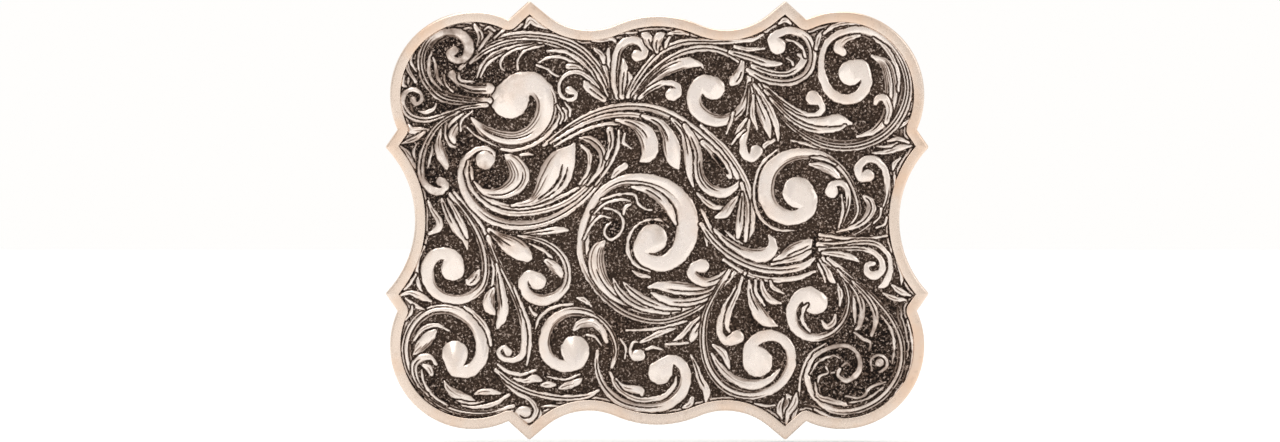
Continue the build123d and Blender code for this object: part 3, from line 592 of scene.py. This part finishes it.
FILLERS = [
    # lines that close the outline's corners, and small leaves in the gaps
    Form(-33, 24.5, .15, -31, 26.2, .25, -28.5, 27, .25, -26.3, 27.3, .25, -24.9, 26.6, .2),
    Form(34.6, -14.6, .12, 35, -18, .25, 34.2, -21.5, .25, 31.5, -25, .25, 28, -27, .25, 24.5, -27.2, .25,
         21.5, -25.8, .15),
    Form(24.4, -20.7, .1, 22.6, -21.2, .2, 21.9, -22.6, .25, 22.4, -24.2, .25, 24, -25.2, .12),
    Form(22, -5.2, .15, 24.3, -6.9, .25, 25.9, -9, .3, 26.8, -11.5, .3, 27, -14, .12),
    Form(-19.3, -25, .12, -19.9, -26.5, .25, -18.7, -27.8, .25, -16.9, -27.7, .25, -16, -26.4, .25,
         -16.5, -25, .12),
    Form(17.7, -23.8, .15, 18.1, -24.9, .7, 17.5, -26, .6, 17.4, -27.3, .12, cuts=[(0, 0, .1, .7)]),
    Form(18.9, -25.8, .25, 18.4, -27.4, .2, 18.1, -28.2, .08),
    Form(-3.6, 9.8, .08, -4.6, 10.6, .2, -4.4, 11.8, .1),
    Form(13.9, 9.2, .1, 14.9, 10.4, .25, 16.6, 11.2, .1),
    Form(18.2, 10.9, .08, 20.6, 10.3, .18, 23, 9.3, .08),
    Form(9.2, -1.4, .08, 10.4, -2.4, .2, 11.6, -3.2, .1),
    Form(5.4, 3.7, .1, 6.9, 2.3, .35, 8.3, 1.7, .3, 9.3, 1.9, .1),
    Form(29.6, 9.9, .1, 31.6, 12.8, .2, 34.5, 14.6, .1),
    Form(-16.9, 8.9, .08, -18, 9, .2, -19, 8.7, .1),
    Form(-25.6, -12.2, .1, -27.3, -11.6, .2, -29.3, -11.4, .1),
    Form(-17.4, -11.9, .1, -16.6, -12.9, .2, -15.4, -13.1, .08),
    Form(-1.6, -17.6, .08, -.6, -17.3, .2, .7, -17.6, .08),
    Form(-13.4, 2, .1, -11.3, 3.6, .25, -9.7, 5.6, .25, -8.9, 7.6, .1),
    Form(-33.6, -5.4, .1, -33.2, -3.6, .25, -32.3, -1.8, .2, -31.9, .2, .08),
    Form(-32.1, 1.6, .1, -32.3, 3, .2, -33, 4.6, .08),
    Form(33.1, 1.2, .1, 33.4, -1.2, .25, 33.1, -3.2, .1),
    Form(30.2, 12.2, .1, 32.9, 12.7, .25, 34.9, 14, .1),
]

# in the order they are cut, later ones over earlier ones
REGIONS = (FILLERS, TOP_LEFT, TOP_MIDDLE, MIDDLE_LEFT, MIDDLE, MIDDLE_RIGHT, TOP_RIGHT, BOTTOM_LEFT,
           BOTTOM_MIDDLE, BOTTOM_RIGHT)

# --- from forms to a relief --------------------------------------------------------------------------
CELL = 0.1  # grid spacing
GRID_X = np.arange(-36.0, 36.0 + CELL / 2, CELL)
GRID_Z = np.arange(-28.8, 28.8 + CELL / 2, CELL)
SEED = 20
STEP = 0.08  # along a form
THINNEST = 0.04  # half width at a form's tips
SWELL = 0.05  # forms are this much wider each side than drawn
NICK = 0.035  # how much the hand cut edges wander
EDGE = 0.15  # width of a form's sloping side
MOAT = 0.15  # dark cut round each form
CUT_HALF = 0.1  # half width of a shading cut
GROUND, GRIT = 0.1, 0.6  # height of the ground between forms, and of the grains on it
ROUNDING, PAINTED_INNER_SHADE = 0.1, 0.14  # how far a top falls at both edges, and more on its inner side, which the colour ramp turns into painted shade
HAIR_DEPTH, CUT_DEPTH = 0.5, 0.9
CHUNK = 16  # points of a form measured at a time
# fine shading lines on the wide forms: place across, and end
HAIRS = ((0.12, 0.42), (0.42, 0.62), (0.7, 0.8), (-0.6, 0.5))
EDGE_LINES = (0.3, 0.78, 1.22)  # bright lines this far in from the panel's edge
EDGE_CELLS = 16  # how far in they are looked for
CORNER_X, CORNER_Z = (19, 22), (10, 13)  # all but the first line start between these, towards the corners
OWN_SHARE, NEAR_SHARE = 0.82, 0.18  # each height is softened by its four neighbours


def ramp(values, low, high):
    """0 at low, 1 at high, and smooth between."""
    t = np.clip((values - low) / (high - low), 0.0, 1.0)
    return t * t * (3 - 2 * t)


def mean_of_nine(values):
    """Each cell's mean with the eight round it."""
    return sum(np.roll(values, (j, i), (0, 1)) for j in (-1, 0, 1) for i in (-1, 0, 1)) / 9


def grow(mask, corners=False):
    """The mask and the cells beside it, or also those at its corners."""
    out = mask.copy()
    out[1:] |= mask[:-1]
    out[:-1] |= mask[1:]
    across = out if corners else mask
    grown = out.copy()
    grown[:, 1:] |= across[:, :-1]
    grown[:, :-1] |= across[:, 1:]
    return grown


def spline(points):
    """Points every STEP along a smooth curve through the given ones, with their half widths."""
    p = np.vstack([2 * points[0] - points[1], points, 2 * points[-1] - points[-2]])
    out = []
    for a, b, c, d in zip(p[:-3], p[1:-2], p[2:-1], p[3:]):
        n = max(2, int(np.hypot(*(c - b)[:2]) / STEP))
        t = (np.arange(n) / n)[:, None]
        out.append(0.5 * (2 * b + (c - a) * t + (2 * a - 5 * b + 4 * c - d) * t**2
                          + (3 * b - a - 3 * c + d) * t**3))
    out.append(points[-1:])
    line = np.vstack(out)
    line[:, 2] = np.maximum(line[:, 2], THINNEST)
    return line


def patch(line):
    """First and last grid rows and columns that a stretch of a form can reach."""
    reach = line[:, 2].max() + MOAT + EDGE
    limits = []
    for grid, places in ((GRID_Z, line[:, 1]), (GRID_X, line[:, 0])):
        limits.append(max(0, int((places.min() - reach - grid[0]) / CELL)))
        limits.append(min(len(grid), int((places.max() + reach - grid[0]) / CELL) + 2))
    return limits


def measure(line, tangent, j0, j1, i0, i1):
    """For each cell of a patch: distance out of the form's edge, place across it, and place along it."""
    far = np.full((j1 - j0, i1 - i0), 9.0)
    side = np.zeros_like(far)
    along = np.zeros_like(far)
    for k in range(0, len(line), CHUNK):
        part, t = line[k:k + CHUNK], tangent[k:k + CHUNK]
        b0, b1, a0, a1 = patch(part)
        if a1 <= a0 or b1 <= b0:
            continue
        gx, gz = np.meshgrid(GRID_X[a0:a1], GRID_Z[b0:b1])
        dx = gx[..., None] - part[:, 0]
        dz = gz[..., None] - part[:, 1]
        edge = np.hypot(dx, dz) - part[:, 2]
        best = edge.argmin(-1)[..., None]
        out = np.take_along_axis(edge, best, -1)[..., 0]
        across = np.take_along_axis((dz * t[:, 0] - dx * t[:, 1]) / part[:, 2], best, -1)[..., 0]
        here = (slice(b0 - j0, b1 - j0), slice(a0 - i0, a1 - i0))
        closer = out < far[here]
        far[here] = np.where(closer, out, far[here])
        side[here] = np.where(closer, across, side[here])
        along[here] = np.where(closer, (best[..., 0] + k) / len(line), along[here])
    return far, side, along


def crown(form, width, side, inner, along):
    """Height of a form's top: lower towards its inner side, where the material colours it as painted shade,
    with its shading lines and cuts.
    """
    wide = ramp(width, 0.35, 0.9)
    thin = ramp(width, 0.24, 0.34) * (1 - wide) * (not form.cuts)
    start = ramp(along, 0.02, 0.1)
    top = 1.0 - ROUNDING * np.clip(np.abs(side), 0, 1) ** 4
    # painted shade: the inner side of a wide form is set lower, and the colour ramp darkens it
    top -= PAINTED_INNER_SHADE * wide * ramp(inner, 0.3, 1.0) * (1 - ramp(along, 0.7, 0.9))
    middle_line = 1 - ramp(np.abs(side) * width, 0.02, 0.11)
    top -= HAIR_DEPTH * thin * start * (1 - ramp(along, 0.5, 0.7)) * middle_line
    for place, until in HAIRS:
        off = np.abs(inner - place) * width
        ends = start * (1 - ramp(along, until - 0.15, until))
        top -= HAIR_DEPTH * wide * ends * (1 - ramp(off, 0.02, 0.12))
    for from_side, to_side, first, last in form.cuts:
        share = np.clip((along - first) / (last - first), 0, 1)
        off = np.abs(side - (from_side + (to_side - from_side) * share)) * width
        ends = ramp(along, first, first + 0.06) * (1 - ramp(along, last - 0.12, last))
        thick = CUT_HALF * (0.5 + 0.5 * ends)
        groove = (1 - ramp(off, thick * 0.45, thick * 1.3)) * ends * ramp(width, 0.16, 0.3)
        top *= 1 - CUT_DEPTH * groove
    return top


class Relief:
    """Height of the engraving over the face, from 0 in the cuts to 1 on the raised forms."""

    def __init__(self):
        rng = np.random.default_rng(SEED)
        noise = rng.random((len(GRID_Z), len(GRID_X)))
        soft = (noise + np.roll(noise, 1, 0) + np.roll(noise, 1, 1) + np.roll(noise, (1, 1), (0, 1))) / 4
        self.height = GROUND + GRIT * ramp(soft, 0.56, 0.74)
        wander = rng.standard_normal(noise.shape)
        for _ in range(4):
            wander = mean_of_nine(wander)
        self.hand = NICK * wander / wander.std()

    def add_border(self, inside):
        """Bright lines that follow the edge of the panel."""
        outside = ~inside
        depth = np.zeros(inside.shape)
        for step in range(EDGE_CELLS):
            depth += inside & ~outside
            outside = grow(outside, corners=step % 2 == 1)
        depth = mean_of_nine(depth * CELL) + self.hand
        gx, gz = np.meshgrid(GRID_X, GRID_Z)
        corner = ramp(np.abs(gx), *CORNER_X) * ramp(np.abs(gz), *CORNER_Z)
        for place, share in zip(EDGE_LINES, (1.0, corner, 0.8 * corner)):
            off = np.abs(depth - place)
            cut = (1 - ramp(off, 0.2, 0.34)) * share
            self.height = np.maximum(self.height * (1 - cut), 0.92 * ((1 - ramp(off, 0.08, 0.2)) * share))

    def add(self, form):
        line = spline(form.points)
        tangent = np.gradient(line[:, :2], axis=0)
        tangent /= np.maximum(np.hypot(tangent[:, 0], tangent[:, 1]), 1e-9)[:, None]
        turns = tangent[:-1, 0] * tangent[1:, 1] - tangent[:-1, 1] * tangent[1:, 0]
        bend = np.sign(turns.sum() or 1.0)
        if not form.dark:
            line[:, 2] += SWELL
        j0, j1, i0, i1 = patch(line)
        if i1 <= i0 or j1 <= j0:
            return
        far, side, along = measure(line, tangent, j0, j1, i0, i1)
        far += self.hand[j0:j1, i0:i1]
        height = self.height[j0:j1, i0:i1]
        top = 0.0
        if not form.dark:
            height *= ramp(far, MOAT - 0.04, MOAT + 0.08)
            width = np.interp(along, np.arange(len(line)) / len(line), line[:, 2])
            top = crown(form, width, side, side * bend, along)
        body = 1 - ramp(far, -EDGE / 2, EDGE / 2)
        height[:] = height * (1 - body) + top * body

    def soften(self):
        h = self.height
        around = (np.roll(h, 1, 0) + np.roll(h, -1, 0) + np.roll(h, 1, 1) + np.roll(h, -1, 1)) / 4
        self.height = OWN_SHARE * h + NEAR_SHARE * around


def draw_relief():
    relief = Relief()
    relief.add_border(inside_panel(GRID_X, GRID_Z))
    for region in REGIONS:
        for form in region:
            relief.add(form)
    relief.soften()
    return relief.height


# --- the face's curve and the CAD outlines -----------------------------------------------------------
AXIS_Y = 160.0  # the face curves about an upright axis here
BASE_R = 161.3  # the base plate's front, from that axis
BACK_R = 161.32  # the relief's back, just clear of it
FACE_R = 162.1  # the front of the CAD panel
FLOOR_R = 162.06  # bottom of the cuts
TOP_R = 162.28  # tops of the raised forms
RIM_R = 162.5  # the rim's front
RIM_ROUND, RIM_INNER_ROUND = 0.32, 0.15  # rounding of the rim's outer and inner edges
FACES = 190_000  # of the finished relief
FRONT_DEPTH = 0.1  # a face this far behind the front isn't part of it
TURN_STEPS = 6  # points round the rim's edges
SHARP_DEG = 50


def face_y(x, radius):
    return AXIS_Y - np.sqrt(radius * radius - x * x)


def front_loops(name, front):
    """Outlines of a CAD node's front face, largest first, as anticlockwise (x, z) points in millimetres."""
    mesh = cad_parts[name].data
    points = np.array([v.co for v in mesh.vertices]) / MM
    radius = np.hypot(points[:, 0], points[:, 1] - AXIS_Y)
    edges = {}
    for face in mesh.polygons:
        ids = list(face.vertices)
        if radius[ids].min() < front - FRONT_DEPTH:
            continue
        spots = [(round(float(points[i, 0]), 4), round(float(points[i, 2]), 4)) for i in ids]
        for a, b in zip(spots, spots[1:] + spots[:1]):
            key = (a, b) if a < b else (b, a)
            edges[key] = edges.get(key, 0) + 1
    joined = {}
    for (a, b), count in edges.items():
        if count == 1:
            joined.setdefault(a, []).append(b)
            joined.setdefault(b, []).append(a)
    loops = []
    while joined:
        start = max(joined, key=lambda spot: spot[1] - 3 * abs(spot[0]))  # near the middle of the top
        loop, before, here = [start], start, joined[start][0]
        while here != start:
            loop.append(here)
            a, b = joined[here]
            before, here = here, (b if a == before else a)
        for spot in loop:
            del joined[spot]
        loop = np.array(loop)
        after = np.roll(loop, -1, 0)
        area = (loop[:, 0] * after[:, 1] - loop[:, 1] * after[:, 0]).sum() / 2
        loops.append((abs(area), loop if area > 0 else np.roll(loop[::-1], 1, 0)))
    return [loop for _, loop in sorted(loops, key=lambda pair: -pair[0])]


def inside_panel(x, z):
    """True where a grid point lies on the CAD panel's front."""
    start = front_loops("engraved_panel", FACE_R)[0]
    end = np.roll(start, -1, 0)
    inside = np.zeros((len(z), len(x)), bool)
    for j, level in enumerate(z + 1e-5):  # off the corners' own levels
        hit = (start[:, 1] < level) != (end[:, 1] < level)
        a, b = start[hit], end[hit]
        crossings = np.sort(a[:, 0] + (b[:, 0] - a[:, 0]) * (level - a[:, 1]) / (b[:, 1] - a[:, 1]))
        for left, right in zip(crossings[::2], crossings[1::2]):
            inside[j] |= (x > left) & (x < right)
    return inside


# --- the rim -----------------------------------------------------------------------------------------
def outward(loop):
    """Unit directions out of an anticlockwise outline at its points."""
    along = np.roll(loop, -1, 0) - loop
    along /= np.hypot(along[:, 0], along[:, 1])[:, None]
    normal = np.stack([along[:, 1], -along[:, 0]], -1)
    normal += np.roll(normal, 1, 0)
    return normal / np.hypot(normal[:, 0], normal[:, 1])[:, None]


def between(outer, inner):
    """Triangles between two outlines that run side by side, as places in (outer points + inner points)."""
    i, done_a, done_b = 0, 0, 0
    n, m = len(outer), len(inner)
    j = int(np.hypot(*(inner - outer[0]).T).argmin())
    faces = []
    while done_a < n or done_b < m:
        next_i, next_j = (i + 1) % n, (j + 1) % m
        step_a = np.hypot(*(outer[next_i] - inner[j]))
        step_b = np.hypot(*(inner[next_j] - outer[i]))
        if done_b >= m or (done_a < n and step_a <= step_b):
            faces.append((i, next_i, n + j))
            i, done_a = next_i, done_a + 1
        else:
            faces.append((n + next_j, n + j, i))
            j, done_b = next_j, done_b + 1
    return faces


def add_rim():
    """The border with its edges rounded over: a small round at the engraved panel, a fuller one outside."""
    outer, inner = front_loops("rim_border", RIM_R)[:2]
    points, faces, rings = [], [], []
    for loop, way, rounding in ((outer, -outward(outer), RIM_ROUND),
                                (inner, outward(inner), RIM_INNER_ROUND)):
        levels = [(0.0, BASE_R)]  # inset and radius, from the back to the front
        for turn in np.radians(np.linspace(0, 90, TURN_STEPS)):
            levels.append((rounding * (1 - np.cos(turn)), RIM_R - rounding * (1 - np.sin(turn))))
        for inset, radius in levels:
            ring = loop + way * inset
            rings.append((len(points), ring))
            points += [(x, face_y(x, radius), z) for x, z in ring]
    half = len(rings) // 2
    for part, chain in enumerate((rings[:half], rings[half:])):
        for (low, ring), (high, _) in zip(chain[:-1], chain[1:]):
            n = len(ring)
            for k in range(n):
                quad = [low + k, low + (k + 1) % n, high + (k + 1) % n, high + k]
                faces.append(quad if part == 0 else quad[::-1])
    for a, b, front in ((rings[half - 1], rings[-1], True), (rings[0], rings[half], False)):
        for triangle in between(a[1], b[1]):
            corner = [a[0] + v if v < len(a[1]) else b[0] + v - len(a[1]) for v in triangle]
            faces.append(corner if front else corner[::-1])
    mesh = bpy.data.meshes.new("rim_band")
    mesh.from_pydata([tuple(float(v) * MM for v in p) for p in points], [], faces)
    mesh.update()
    mesh.polygons.foreach_set("use_smooth", [True] * len(mesh.polygons))
    mesh.set_sharp_from_angle(angle=np.radians(SHARP_DEG))
    return add_object("rim_band", mesh)


# --- the engraved panel ------------------------------------------------------------------------------
def relief_mesh(height):
    """A closed slab: the engraved front, walls round its edge just under the rim, and a plain back."""
    middles = GRID_X[:-1] + CELL / 2, GRID_Z[:-1] + CELL / 2
    cells = grow(inside_panel(*middles))
    rows, cols = height.shape
    used = np.zeros((rows, cols), bool)
    for dj in (0, 1):
        for di in (0, 1):
            used[dj:rows - 1 + dj, di:cols - 1 + di] |= cells
    front = -np.ones((rows, cols), int)
    front[used] = np.arange(used.sum())
    gx, gz = np.meshgrid(GRID_X, GRID_Z)
    radius = FLOOR_R + (TOP_R - FLOOR_R) * height
    top = np.stack([gx, face_y(gx, radius), gz], -1)[used]
    j, i = np.nonzero(cells)
    faces = np.stack([front[j, i], front[j, i + 1], front[j + 1, i + 1], front[j + 1, i]], -1).tolist()

    padded = np.pad(cells, 1)
    walls = []
    edge = np.zeros((rows, cols), bool)
    # a cell's neighbour, and the ends of the edge they share, all as (row, column) steps
    sides = (((-1, 0), (0, 0), (0, 1)), ((0, 1), (0, 1), (1, 1)),
             ((1, 0), (1, 1), (1, 0)), ((0, -1), (1, 0), (0, 0)))
    for (dj, di), a, b in sides:
        bare = ~padded[1 + dj:rows + dj, 1 + di:cols + di] & cells
        jj, ii = np.nonzero(bare)
        walls.append(np.stack([jj + a[0], ii + a[1], jj + b[0], ii + b[1]], -1))
        edge[jj + a[0], ii + a[1]] = True
        edge[jj + b[0], ii + b[1]] = True
    back = -np.ones((rows, cols), int)
    back[edge] = len(top) + np.arange(edge.sum())
    bottom = np.stack([gx, face_y(gx, BACK_R), gz], -1)[edge]
    for ja, ia, jb, ib in np.concatenate(walls):
        faces.append([front[jb, ib], front[ja, ia], back[ja, ia], back[jb, ib]])
    for col in range(cols - 1):  # the back is upright strips
        run = np.flatnonzero(np.diff(np.concatenate([[0], cells[:, col].astype(int), [0]])))
        for start, stop in zip(run[::2], run[1::2]):
            left = [back[k, col] for k in range(start, stop + 1) if edge[k, col]]
            right = [back[k, col + 1] for k in range(stop, start - 1, -1) if edge[k, col + 1]]
            faces.append(left + right)
    mesh = bpy.data.meshes.new("relief_panel")
    points = (np.concatenate([top, bottom]) * MM).tolist()
    mesh.from_pydata(points, [], [[int(k) for k in f] for f in faces])
    mesh.update()
    return mesh


def add_relief():
    piece = add_object("relief_panel", relief_mesh(draw_relief()))
    thin = piece.modifiers.new("thin", "DECIMATE")
    thin.ratio = min(1.0, FACES / (2 * len(piece.data.polygons)))
    bpy.context.view_layer.update()
    full = piece.data
    piece.data = bpy.data.meshes.new_from_object(piece.evaluated_get(bpy.context.evaluated_depsgraph_get()))
    piece.data.name = "relief_panel_mesh"
    piece.modifiers.clear()
    bpy.data.meshes.remove(full)
    piece.data.polygons.foreach_set("use_smooth", [True] * len(piece.data.polygons))
    return piece


# --- materials ---------------------------------------------------------------------------------------
BUMP_DEPTH = 0.02


class Paint(Wiring):
    """One procedural material in the model's own coordinates."""

    def __init__(self, name):
        self.material = bpy.data.materials.new(name)
        self.material.use_nodes = True
        super().__init__(self.material.node_tree, "Object")
        self.inputs = self.tree.nodes["Principled BSDF"].inputs

    def noise(self, per_mm, detail=3.0, rough=0.55, stretch=(1.0, 1.0, 1.0)):
        """Noise with about per_mm bumps to the millimetre."""
        scale = [s * per_mm / MM for s in stretch]
        scaled = self.node("ShaderNodeMapping", Vector=self.coord, Scale=scale).outputs[0]
        return self.node("ShaderNodeTexNoise", Vector=scaled, Scale=1.0, Detail=detail,
                         Roughness=rough).outputs["Fac"]

    def spot(self, x, z, reach):
        """1 at a place on the face in millimetres, fading to 0 at its reach."""
        flat = self.vector("MULTIPLY", self.coord, (1.0, 0.0, 1.0), "Vector")
        far = self.vector("DISTANCE", flat, (x * MM, 0.0, z * MM), "Value")
        return self.spread(far, reach * MM, 0.3 * reach * MM)

    def bump(self, height, strength):
        made = self.node("ShaderNodeBump", Height=height, Strength=strength, Distance=BUMP_DEPTH * MM)
        self.put(self.inputs["Normal"], made.outputs["Normal"])


def engraved_silver():
    """Bright on the raised forms, brown-black patina in the cuts, painted shade on the forms' sloping and
    inner sides, with grit on the ground and tarnished areas.
    """
    p = Paint("engraved_silver")
    parts = p.node("ShaderNodeSeparateXYZ", Vector=p.coord)
    x, depth = parts.outputs["X"], p.math("SUBTRACT", parts.outputs["Y"], AXIS_Y * MM)
    radius = p.math("SQRT", p.math("ADD", p.math("MULTIPLY", x, x), p.math("MULTIPLY", depth, depth)))
    height = p.spread(radius, FLOOR_R * MM, TOP_R * MM)
    broad, fine = p.noise(0.12, 2.0), p.noise(1.6, 4.0, 0.6)
    tarnish = p.math("ADD", p.spread(broad, 0.45, 0.75, 0.0, 0.09), p.spread(fine, 0.5, 0.8, 0.0, 0.1))
    dark = p.math("MAXIMUM", p.spot(-30, 22, 14), p.spot(27, -19, 10))
    dark = p.math("MAXIMUM", dark, p.math("MULTIPLY", p.spot(-31, 8, 11), 0.7))
    patchy = p.spread(p.noise(0.55, 3.0), 0.35, 0.65, 0.02, 0.26)
    tarnish = p.math("ADD", tarnish, p.math("MULTIPLY", dark, patchy))
    level = p.math("SUBTRACT", height, tarnish, clamp=True)
    grit = p.spread(p.noise(3.0, 2.0, 0.7), 0.51, 0.64, 0.0, 0.74)
    ground = p.spread(height, 0.75, 0.5)
    level = p.math("MAXIMUM", level, p.math("MULTIPLY", grit, ground))
    # colour by height: the low stops are the patina in the cuts, the middle stops paint shade on the forms'
    # sloping sides and lowered inner sides
    silver = p.stops(level, (0.0, (0.007, 0.004, 0.003)), (0.12, (0.046, 0.029, 0.02)),
                     (0.42, (0.085, 0.058, 0.044)), (0.6, (0.2, 0.145, 0.115)),
                     (0.78, (0.5, 0.415, 0.365)), (0.92, (0.82, 0.735, 0.675)))
    warm = p.spread(p.noise(0.22, 3.0), 0.5, 0.72)
    silver = p.mix(p.math("MULTIPLY", warm, 0.35), silver, (0.96, 0.8, 0.68), "MULTIPLY")
    p.put(p.inputs["Base Color"], silver)
    p.inputs["Specular IOR Level"].default_value = 0.15
    p.put(p.inputs["Metallic"], p.spread(level, 0.4, 0.8, 0.25, 0.92))
    p.put(p.inputs["Roughness"], p.math("ADD", p.spread(level, 0.4, 0.85, 0.75, 0.22),
                                        p.math("MULTIPLY", fine, 0.12)))
    p.bump(p.noise(5.0, 3.0, 0.6, (0.5, 0.5, 1.6)), 0.12)
    return p.material


def metal(name, colour, stain, roughness, patch=0.18, grain=(1.0, 1.0, 1.0), bump=0.12, metallic=0.95):
    """Polished or brushed metal with stains, small handling marks and a fine grain."""
    p = Paint(name)
    patches = p.spread(p.noise(patch, 4.0, 0.6), 0.48, 0.72)
    specks = p.spread(p.noise(1.1, 3.0, 0.65), 0.58, 0.78)
    base = p.mix(patches, colour, stain)
    base = p.mix(p.math("MULTIPLY", specks, 0.35), base, tuple(0.55 * c for c in stain))
    p.put(p.inputs["Base Color"], base)
    p.inputs["Metallic"].default_value = metallic
    marks = p.noise(3.0, 4.0, 0.65, grain)
    worn = p.spread(marks, 0.3, 0.8, roughness - 0.06, roughness + 0.1)
    p.put(p.inputs["Roughness"], p.math("ADD", worn, p.math("MULTIPLY", patches, 0.08)))
    p.bump(marks, bump)
    return p.material


def floor_white():
    p = Paint("floor_white")
    white = p.stops(p.noise(0.02, 2.0), (0.3, (0.9, 0.9, 0.895)), (0.7, (0.94, 0.94, 0.935)))
    p.put(p.inputs["Base Color"], white)
    p.inputs["Roughness"].default_value = 0.9
    return p.material


# --- the pieces --------------------------------------------------------------------------------------
MERGE = 1e-6  # metres; joins the CAD meshes' split corners
BEVEL_DEG = 40
FLOOR_GAP = 0.6  # under the buckle's lowest point
FLOOR_REACH = 6.0  # metres


def finish_node(name, material, bevel=0.0, segments=3):
    """Give a CAD node its material, and soften its edges by a bevel in millimetres."""
    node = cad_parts[name]
    for slot in node.material_slots:
        slot.material = material
    if bevel:
        node.modifiers.new("weld", "WELD").merge_threshold = MERGE
        edge = node.modifiers.new("edge", "BEVEL")
        edge.width, edge.segments = bevel * MM, segments
        edge.limit_method, edge.angle_limit = "ANGLE", np.radians(BEVEL_DEG)
        edge.use_clamp_overlap = True


def add_floor():
    low = cad_box[0][2] - FLOOR_GAP * MM
    mesh = bpy.data.meshes.new("floor")
    corners = [(x, y, low) for x, y in ((-1, -1), (1, -1), (1, 1), (-1, 1))]
    mesh.from_pydata([(x * FLOOR_REACH, y * FLOOR_REACH, z) for x, y, z in corners], [], [(0, 1, 2, 3)])
    mesh.materials.append(floor_white())
    floor = add_object("floor", mesh)


relief_panel = add_relief()
relief_panel.data.materials.clear()
relief_panel.data.materials.append(engraved_silver())
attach(relief_panel, "plate")
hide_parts("engraved_panel")

rim = metal("bright_silver", (0.76, 0.64, 0.55), (0.77, 0.55, 0.4), 0.28, patch=0.1, metallic=0.88)
rim_band = add_rim()
rim_band.data.materials.append(rim)
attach(rim_band, "plate")
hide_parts("rim_border")

back = metal("nickel_silver_back", (0.44, 0.42, 0.385), (0.3, 0.27, 0.235), 0.4, patch=0.07,
             grain=(0.08, 0.5, 2.2), bump=0.3)
fittings = metal("nickel_silver_fittings", (0.5, 0.48, 0.44), (0.34, 0.3, 0.26), 0.32,
                 grain=(1.0, 1.0, 0.3))
steel = metal("steel_rod", (0.36, 0.365, 0.38), (0.22, 0.21, 0.2), 0.26, grain=(2.0, 2.0, 0.1))
brass = metal("brass_washers", (0.66, 0.47, 0.19), (0.4, 0.27, 0.12), 0.28)
plated = metal("plated_wire", (0.58, 0.575, 0.56), (0.42, 0.39, 0.36), 0.2, bump=0.08)
finish_node("base_plate", back, 0.15)
for name in ("hinge_lug_upper", "hinge_lug_lower", "bail_knuckle_upper", "bail_knuckle_lower", "hook_pad"):
    finish_node(name, fittings, 0.2)
finish_node("hinge_rod", steel, 0.1)
for name in ("hinge_washer_upper", "hinge_washer_lower"):
    finish_node(name, brass, 0.05, 2)
finish_node("bail_loop", plated)
finish_node("hook_peg", plated, 0.15)
add_floor()


def flat(box):
    return [[float(v) for v in corner] for corner in box]
